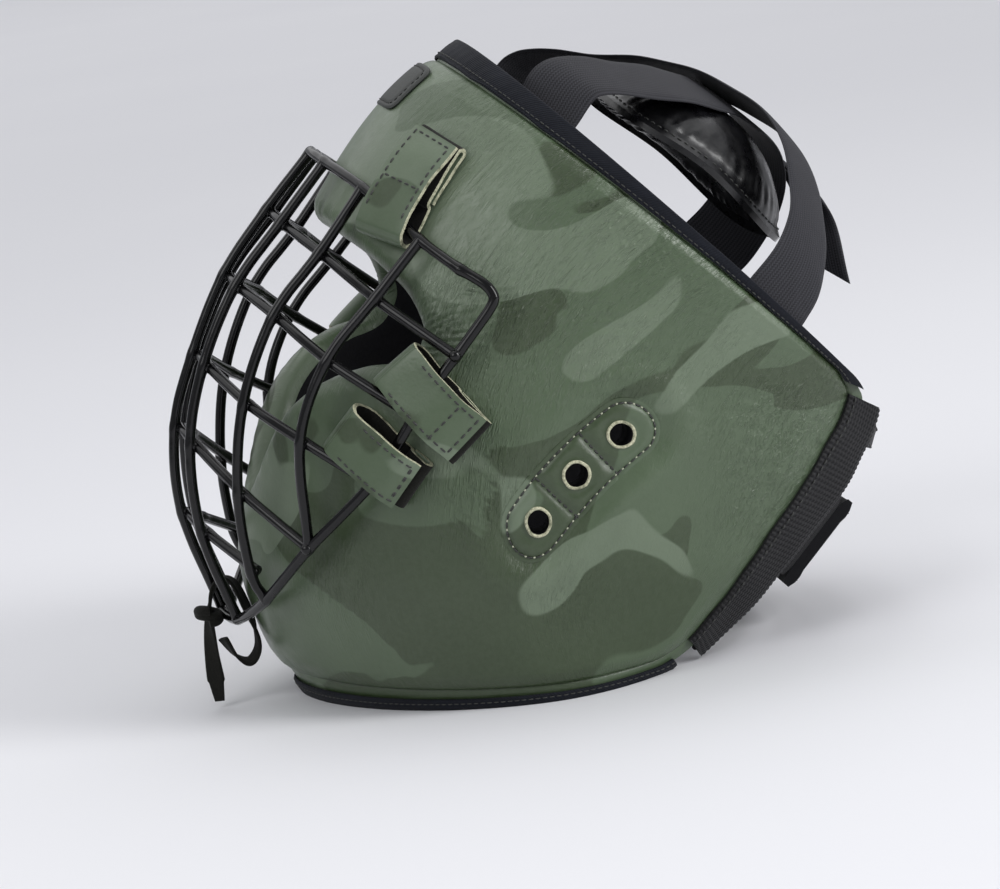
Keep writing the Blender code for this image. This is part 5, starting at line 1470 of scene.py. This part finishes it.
def pad_grid(roof, crest):
    """Closed form in rings from the top's middle over the flange to the underside's: the
    thickness is a fourth-power arch with puckers that grow towards the seam."""
    turns = np.linspace(0, 2 * math.pi, PAD_SPOKES, endpoint=False)
    corner = np.stack([np.cos(turns), np.sin(turns)], axis=1)
    corner = np.sign(corner) * np.abs(corner) ** PAD_SQUARENESS
    outline = corner * np.array([PAD_WIDTH / 2, PAD_LENGTH / 2])
    body = 1 - PAD_FLANGE_WIDTH / (PAD_WIDTH / 2)
    shares = np.concatenate([np.linspace(0.02, body, 46), [body + 0.012, 0.975, 0.99, 1.0]])
    middle = np.array([0.0, SHELL_LENGTH * CROSSING_SHARE + PAD_BACK])
    half = PAD_THICKNESS / 2
    rings = []
    for sign, order in ((1, shares), (-1, shares[::-1])):
        for share in order:
            xy = outline * share + middle
            inside = min(share / body, 1.0)
            rise = 0.5 * (1 - inside**3.4) ** 0.62 + 0.5 * PAD_FLANGE / PAD_THICKNESS * inside**6
            pucker = np.sin(turns * 46 + 1.5 * np.sin(turns * 5)) + 0.6 * np.sin(turns * 29)
            ruffle = 0.26 * pucker * math.exp(-((inside - 0.93) / 0.07) ** 2)
            ruffle = ruffle * min(1.0, max(0.0, (0.97 - share) / 0.05))
            wrinkle = 0.35 * np.sin(xy[:, 0] / 3.3 + 2.2 * np.sin(xy[:, 1] / 7.0)) * (
                inside * (1 - inside) * 2)
            pressed = 1.1 * np.exp(-(np.abs(xy[:, 0]) / 17.0) ** 4) * math.exp(-(share / 0.7) ** 4)
            dome = (roof - half - PAD_DOME[0] * (xy[:, 0] / (PAD_WIDTH / 2)) ** 2
                    - PAD_DOME[1] * ((xy[:, 1] - crest) / (PAD_LENGTH / 2)) ** 2)
            top = 0.0 if sign < 0 else pressed
            z = dome + sign * rise * PAD_THICKNESS + (ruffle + wrinkle) * (1 if sign > 0 else 0.6)
            rings.append(np.column_stack([xy, z - top]))
    grid = np.array(rings)
    seam = outline * (body + 0.03) + middle
    seam_z = (roof - half - PAD_DOME[0] * (seam[:, 0] / (PAD_WIDTH / 2)) ** 2
              - PAD_DOME[1] * ((seam[:, 1] - crest) / (PAD_LENGTH / 2)) ** 2) + PAD_FLANGE / 2
    return grid, np.column_stack([seam, seam_z + 0.1])


def gloss_leather():
    """Soft full grain leather, gloss black, with a fine grain and stretched creases."""
    material, tree, shader = plain_material("gloss_black_leather", 0.3, Coat_Weight=0.2,
                                            Coat_Roughness=0.2)
    place = put(tree, "TexCoord").outputs["Object"]
    mottle = put(tree, "TexNoise", [("Vector", place), ("Scale", 1000 / 16.0), ("Detail", 4.0),
                                    ("Roughness", 0.6)]).outputs["Fac"]
    worn = put(tree, "MapRange", [("Value", mottle), ("From Min", 0.45), ("From Max", 0.8)],
               interpolation_type="SMOOTHSTEP").outputs["Result"]
    tree.links.new(put(tree, "Mix", [(0, worn), (6, linear("#08080A")), (7, linear("#161619"))],
                       data_type="RGBA").outputs[2], shader.inputs["Base Color"])
    mottle = put(tree, "TexNoise", [("Vector", place), ("Scale", 1000 / 6.0),
                                    ("Detail", 3.0)]).outputs["Fac"]
    tree.links.new(put(tree, "MapRange", [("Value", mottle), ("From Min", 0.3), ("From Max", 0.7),
                                          ("To Min", 0.24), ("To Max", 0.42)],
                       interpolation_type="SMOOTHSTEP").outputs["Result"],
                   shader.inputs["Roughness"])
    grain = put(tree, "TexVoronoi", [("Vector", place), ("Scale", 800.0)],
                feature="SMOOTH_F1").outputs["Distance"]
    mottle = put(tree, "TexNoise", [("Vector", place), ("Scale", 1000 / 7.0), ("Detail", 2.0),
                                    ("Roughness", 0.5), ("Distortion", 0.4)]).outputs["Fac"]
    normal = put(tree, "Bump", [("Height", mottle), ("Distance", 0.5 / 1000),
                                ("Strength", 0.5)]).outputs["Normal"]
    tree.links.new(put(tree, "Bump", [("Height", grain), ("Distance", 0.08 / 1000),
                                      ("Strength", 0.3), ("Normal", normal)]).outputs["Normal"],
                   shader.inputs["Normal"])
    return material


GLOSS = gloss_leather()
crossing = path[np.argmin(np.abs(path[:, 0]))]
grid, seam = pad_grid(crossing[2] - WEBBING / 2 - SEAT, crossing[1] + PAD_BACK * 2)
pad = skin("crown_pad_leather", grid, [GLOSS], round_columns=True)
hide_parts("crown_pad")
sewn = stitches("crown_pad_stitches", np.vstack([seam, seam[:1]]),
                np.tile([0.0, 0.0, 1.0], (PAD_SPOKES + 1, 1)), 3.1, 2.2, 0.6, DARK_THREAD)
for item in (pad, sewn):
    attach(item, "root")


# Back: two soft padded straps that gather as they bend round the head, and between them the
# closure, a loop pad sewn to the left edge under a bound webbing flap from the right edge.
OCCIPUT_FANS, CLOSURE_FANS, NAPE_FANS = (0.075, 0.160), (0.375, 0.735), (0.895, 0.990)
OCCIPUT_BULGE, CLOSURE_BULGE, NAPE_BULGE = 19.0, 21.0, 16.8
SOFT_STRAP, CLOSURE_PAD, CLOSURE_FLAP = 3.4, 3.0, 4.4
PAD_INSET = 0.015
BAND_END, PAD_END, FLAP_END = 0.985, -0.35, 0.52
FLAP_RISE = (-0.85, -0.50)


def coarse_rear():
    """Way and fan columns of the rear edge at the coarse spacing of the solids."""
    rear_count = COLUMN_COUNTS[1]
    fan = np.linspace(0, 1, rear_count + 1)
    way = np.ones(rear_count + 1)
    fan[0] += CORNER_ROUNDING
    fan[-1] -= CORNER_ROUNDING
    way[[0, -1]] -= CORNER_ROUNDING / 2
    at_crown, at_jaw = CORNER_LOOKS_AT
    share = at_crown + np.linspace(0, 1, rear_count + 1) * (at_jaw - at_crown)
    return np.stack([way, fan, smooth(share, OPENING, 1), smooth(share, OPENING, 2)], axis=1)


def back_grid(left_at, right_at, bulge, fans, thickness, lap=0.0, rising=False, gathers=0.0,
              bound=0.0):
    """Band across the back: rings along it, with a rounded edge, gathers that run across it
    and, where bound, a thicker rolled edge."""
    columns = coarse_rear()
    edge = across_the_wall(columns, -ELASTIC_BEHIND * 0.5,
                           np.full(len(columns), HEM_DEPTH - CLEARANCE + SEAT))[2]
    share = np.linspace(left_at, right_at, 190)
    lift = lap * np.clip((share - FLAP_RISE[0]) / (FLAP_RISE[1] - FLAP_RISE[0]), 0, 1)
    rims = []
    for fan in fans:
        start = np.array([np.interp(fan, columns[:, 1], edge[:, k]) for k in range(3)])
        y = start[1] + bulge * (1 - share**2) + lift
        z = np.full_like(y, start[2])
        if rising:
            z = start[2] * (HINGE_DISTANCE - y) / (HINGE_DISTANCE - start[1])
        rims.append(np.stack([share * start[0], y, z], axis=1))
    slope = unit(np.gradient(rims[0], axis=0))
    inward = np.cross(slope, [0.0, 0.0, -1.0])
    over = np.linspace(0, 1, 15)
    run = run_along(rims[0])
    width = np.linalg.norm(rims[1][0] - rims[0][0])
    steps, maps = [], []
    for face in (0, 1):
        for s in (over if face == 0 else over[::-1]):
            rounded = abs(2 * s - 1) ** 10
            middle = rims[0] + (rims[1] - rims[0]) * s
            depth = (thickness if face else 0.0) + (-1 if face else 1) * rounded * thickness * 0.3
            hem = bound * (abs(2 * s - 1) > 0.7) * (0.0 if face else 1.0)
            fold = gathers * np.sin(run / 1.9 + 1.3 * np.sin(s * 4 + run / 9.0)) * (1 - rounded)
            fold += gathers * 0.6 * np.sin(run / 5.3 + s * 5.0)
            depth = depth + (fold if face == 0 else -0.3 * fold) - hem * 0.5
            steps.append(middle + inward * np.maximum(depth, -0.6)[:, None])
            maps.append(np.stack([run, np.full(len(run), s * width + face * (width + 4))], axis=1))
    maps.append(maps[0])
    outer_line = rims[0] + (rims[1] - rims[0]) * 0.1
    other_line = rims[0] + (rims[1] - rims[0]) * 0.9
    return np.stack(steps, axis=1), np.stack(maps, axis=1), outer_line, other_line, -inward


def loop_pile():
    """Knitted loop pile of hook and loop tape, brushed matt."""
    material, tree, shader = plain_material("loop_pile", 1.0, Sheen_Weight=0.06,
                                            Specular_IOR_Level=0.1)
    place = put(tree, "TexCoord").outputs["Object"]
    pile = put(tree, "TexNoise", [("Vector", place), ("Scale", 1000 / 0.8), ("Detail", 5.0),
                                  ("Roughness", 0.8)]).outputs["Fac"]
    tree.links.new(put(tree, "Mix", [(0, pile), (6, linear("#060607")), (7, linear("#1C1C20"))],
                       data_type="RGBA").outputs[2], shader.inputs["Base Color"])
    tree.links.new(put(tree, "Bump", [("Height", pile), ("Distance", 0.6 / 1000),
                                      ("Strength", 1.0)]).outputs["Normal"],
                   shader.inputs["Normal"])
    return material


FLAP_CLOTH = webbing_cloth("flap_webbing", "#0B0B0D", "#1E1E22", 0.72)
for name, shape, material, slot, node in (
        ("occiput_strap_cloth", (BAND_END, -BAND_END, OCCIPUT_BULGE, OCCIPUT_FANS, SOFT_STRAP, 0.0,
                                 False, 0.28), ELASTIC, "elastic_black", "occiput_strap"),
        ("nape_strap_cloth", (BAND_END, -BAND_END, NAPE_BULGE, NAPE_FANS, SOFT_STRAP, 0.0, True,
                              0.30), ELASTIC, "elastic_black", "nape_strap"),
        ("closure_pad_pile", (BAND_END, PAD_END, CLOSURE_BULGE,
                              (CLOSURE_FANS[0] + PAD_INSET, CLOSURE_FANS[1] - PAD_INSET),
                              CLOSURE_PAD, 0.0, False, 0.10), loop_pile(), "hook_and_loop_black",
         "closure_pad"),
        ("closure_flap_webbing", (FLAP_END, -BAND_END, CLOSURE_BULGE, CLOSURE_FANS, CLOSURE_FLAP,
                                  CLOSURE_FLAP + SEAT, False, 0.06, 1.0), FLAP_CLOTH,
         "webbing_charcoal", "closure_flap")):
    grid, uv, first_line, second_line, out_way = back_grid(*shape)
    piece = skin(name, grid, [material], uv, round_columns=True)
    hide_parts(node)
    made = [piece]
    if node != "closure_pad":
        for number, line in enumerate((first_line, second_line)):
            made.append(stitches(f"{node}_stitches_{number + 1}", line + out_way * 0.15, out_way,
                                 3.0, 2.2, 0.6, DARK_THREAD))
    for item in made:
        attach(item, "root")


# Chin tie: a flat thong of black suede leather, once round the cage's bottom wire beside the
# middle upright, knotted over itself in front, with a frayed free tail hanging below.
THONG_WIDTH, THONG, THONG_ASIDE = 8.0, 1.8, 7.4
TIE_ROUTE = np.array(((0.949, 28.0), (0.920, 24.0), (0.888, 20.0), (0.856, 16.6), (0.830, 12.6),
                      (0.818, 8.0), (0.828, 3.6), (0.860, 1.5), (0.893, 1.4), (0.918, 4.0),
                      (0.928, 9.4), (0.914, 13.2), (0.889, 15.0)))

line = spline(lifted(np.zeros(len(TIE_ROUTE)), TIE_ROUTE[:, 0], TIE_ROUTE[:, 1]), 12)
line[:, 0] += THONG_ASIDE
share = np.linspace(0, 1, len(line))
in_plane = unit(np.cross(unit(np.gradient(line, axis=0)), [1.0, 0.0, 0.0]))
twist = 1.15 * np.exp(-(share / 0.22) ** 4)
twist += 0.45 * np.sin(share * 14.0) * ease((share - 0.2) / 0.2)
sideways = (np.cos(twist)[:, None] * np.array([1.0, 0.0, 0.0]) + np.sin(twist)[:, None] * in_plane)
grid, uv, up = webbing_grid(line, sideways, THONG_WIDTH - 0.4, THONG, 0.25, 0.5)
narrow = 0.86 + 0.14 * np.sin(share * 23.0) * np.cos(share * 9.0)
grid = line[:, None] + (grid - line[:, None]) * np.where(share < 0.06, 0.55 + share * 5.0,
                                                          narrow)[:, None, None]
thong = skin("chin_tie_thong", grid, [SUEDE], uv, round_columns=True)
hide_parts("chin_tie")
knot_at = line[3 * 12]
turns = np.linspace(0, 4 * math.pi, 90)
axis = unit(line[3 * 12 + 4] - line[3 * 12 - 4])
wide_way = np.array([1.0, 0.0, 0.0])
deep_way = unit(np.cross(axis, wide_way))
wrap = (knot_at + wide_way * (np.cos(turns) * 4.9)[:, None]
        + deep_way * (np.sin(turns) * 3.8)[:, None]
        + axis * (np.linspace(-2.4, 2.4, 90) + 0.8 * np.sin(turns * 0.5))[:, None])
knot = skin("chin_tie_knot", tube(wrap, 2.0 + 0.3 * np.sin(np.linspace(0, 9, 90)), 12), [SUEDE],
            np.zeros((90, 13, 2)), round_columns=True)
for item in (thong, knot):
    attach(item, "root")


# Brow patch: a blank patch of dark matt leather with rounded corners, its rim pressed down
# and sewn round with one row of stitches.
PATCH_HALF_ROUND = 0.085
PATCH_FAN = (0.055, 0.135)
PATCH_THICK = 0.75


def patch_grid():
    """Closed slab over the brow: a superellipse outline, its top pillowed inside a groove."""
    shares = np.linspace(0.03, 1, 34)
    turns = np.linspace(0, 2 * math.pi, 160, endpoint=False)
    corner = np.stack([np.cos(turns), np.sin(turns)], axis=1)
    corner = np.sign(corner) * np.abs(corner) ** 0.30
    rings, maps = [], []
    middle = sum(PATCH_FAN) / 2
    half_fan = (PATCH_FAN[1] - PATCH_FAN[0]) / 2
    for face, order in ((1, shares), (0, shares[::-1])):
        for s in order:
            way = corner[:, 0] * PATCH_HALF_ROUND * s
            fan = middle + corner[:, 1] * half_fan * s
            groove = 0.35 * math.exp(-((s - 0.82) / 0.05) ** 2)
            pillow = 0.25 * (1 - s**4)
            height = SEAT + (PATCH_THICK * (1 - 0.5 * max(0.0, s - 0.94) / 0.06) - groove + pillow
                             if face else 0.0)
            rings.append(lifted(way, fan, np.full(len(way), height)))
            maps.append(np.stack([way * 300, fan * 240], axis=1))
    uv = np.stack(maps)
    seam_way = corner[:, 0] * PATCH_HALF_ROUND * 0.82
    seam_fan = middle + corner[:, 1] * half_fan * 0.82
    seam = lifted(seam_way, seam_fan, np.full(len(turns), SEAT + PATCH_THICK - 0.1))
    return (np.array(rings), np.concatenate([uv, uv[:, :1]], axis=1), seam,
            outward(seam_way, seam_fan))


def patch_leather():
    """Dark matt pressed leather."""
    material, tree, shader = plain_material("dark_pressed_leather", 0.5)
    place = put(tree, "TexCoord").outputs["Object"]
    mottle = put(tree, "TexNoise", [("Vector", place), ("Scale", 1000 / 3.0), ("Detail", 4.0),
                                    ("Roughness", 0.6)]).outputs["Fac"]
    tree.links.new(put(tree, "Mix", [(0, mottle), (6, linear("#141815")), (7, linear("#252A25"))],
                       data_type="RGBA").outputs[2], shader.inputs["Base Color"])
    grain = put(tree, "TexVoronoi", [("Vector", place), ("Scale", 1100.0)],
                feature="SMOOTH_F1").outputs["Distance"]
    tree.links.new(put(tree, "Bump", [("Height", grain), ("Distance", 0.15 / 1000),
                                      ("Strength", 0.6)]).outputs["Normal"],
                   shader.inputs["Normal"])
    return material


grid, uv, seam, seam_up = patch_grid()
patch = skin("brow_patch", grid, [patch_leather()], uv, round_columns=True)
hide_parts("forehead_patch")
sewn = stitches("brow_patch_stitches", np.vstack([seam, seam[:1]]),
                np.vstack([seam_up, seam_up[:1]]), 2.6, 1.9, 0.5, DARK_THREAD)
for item in (patch, sewn):
    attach(item, "root")
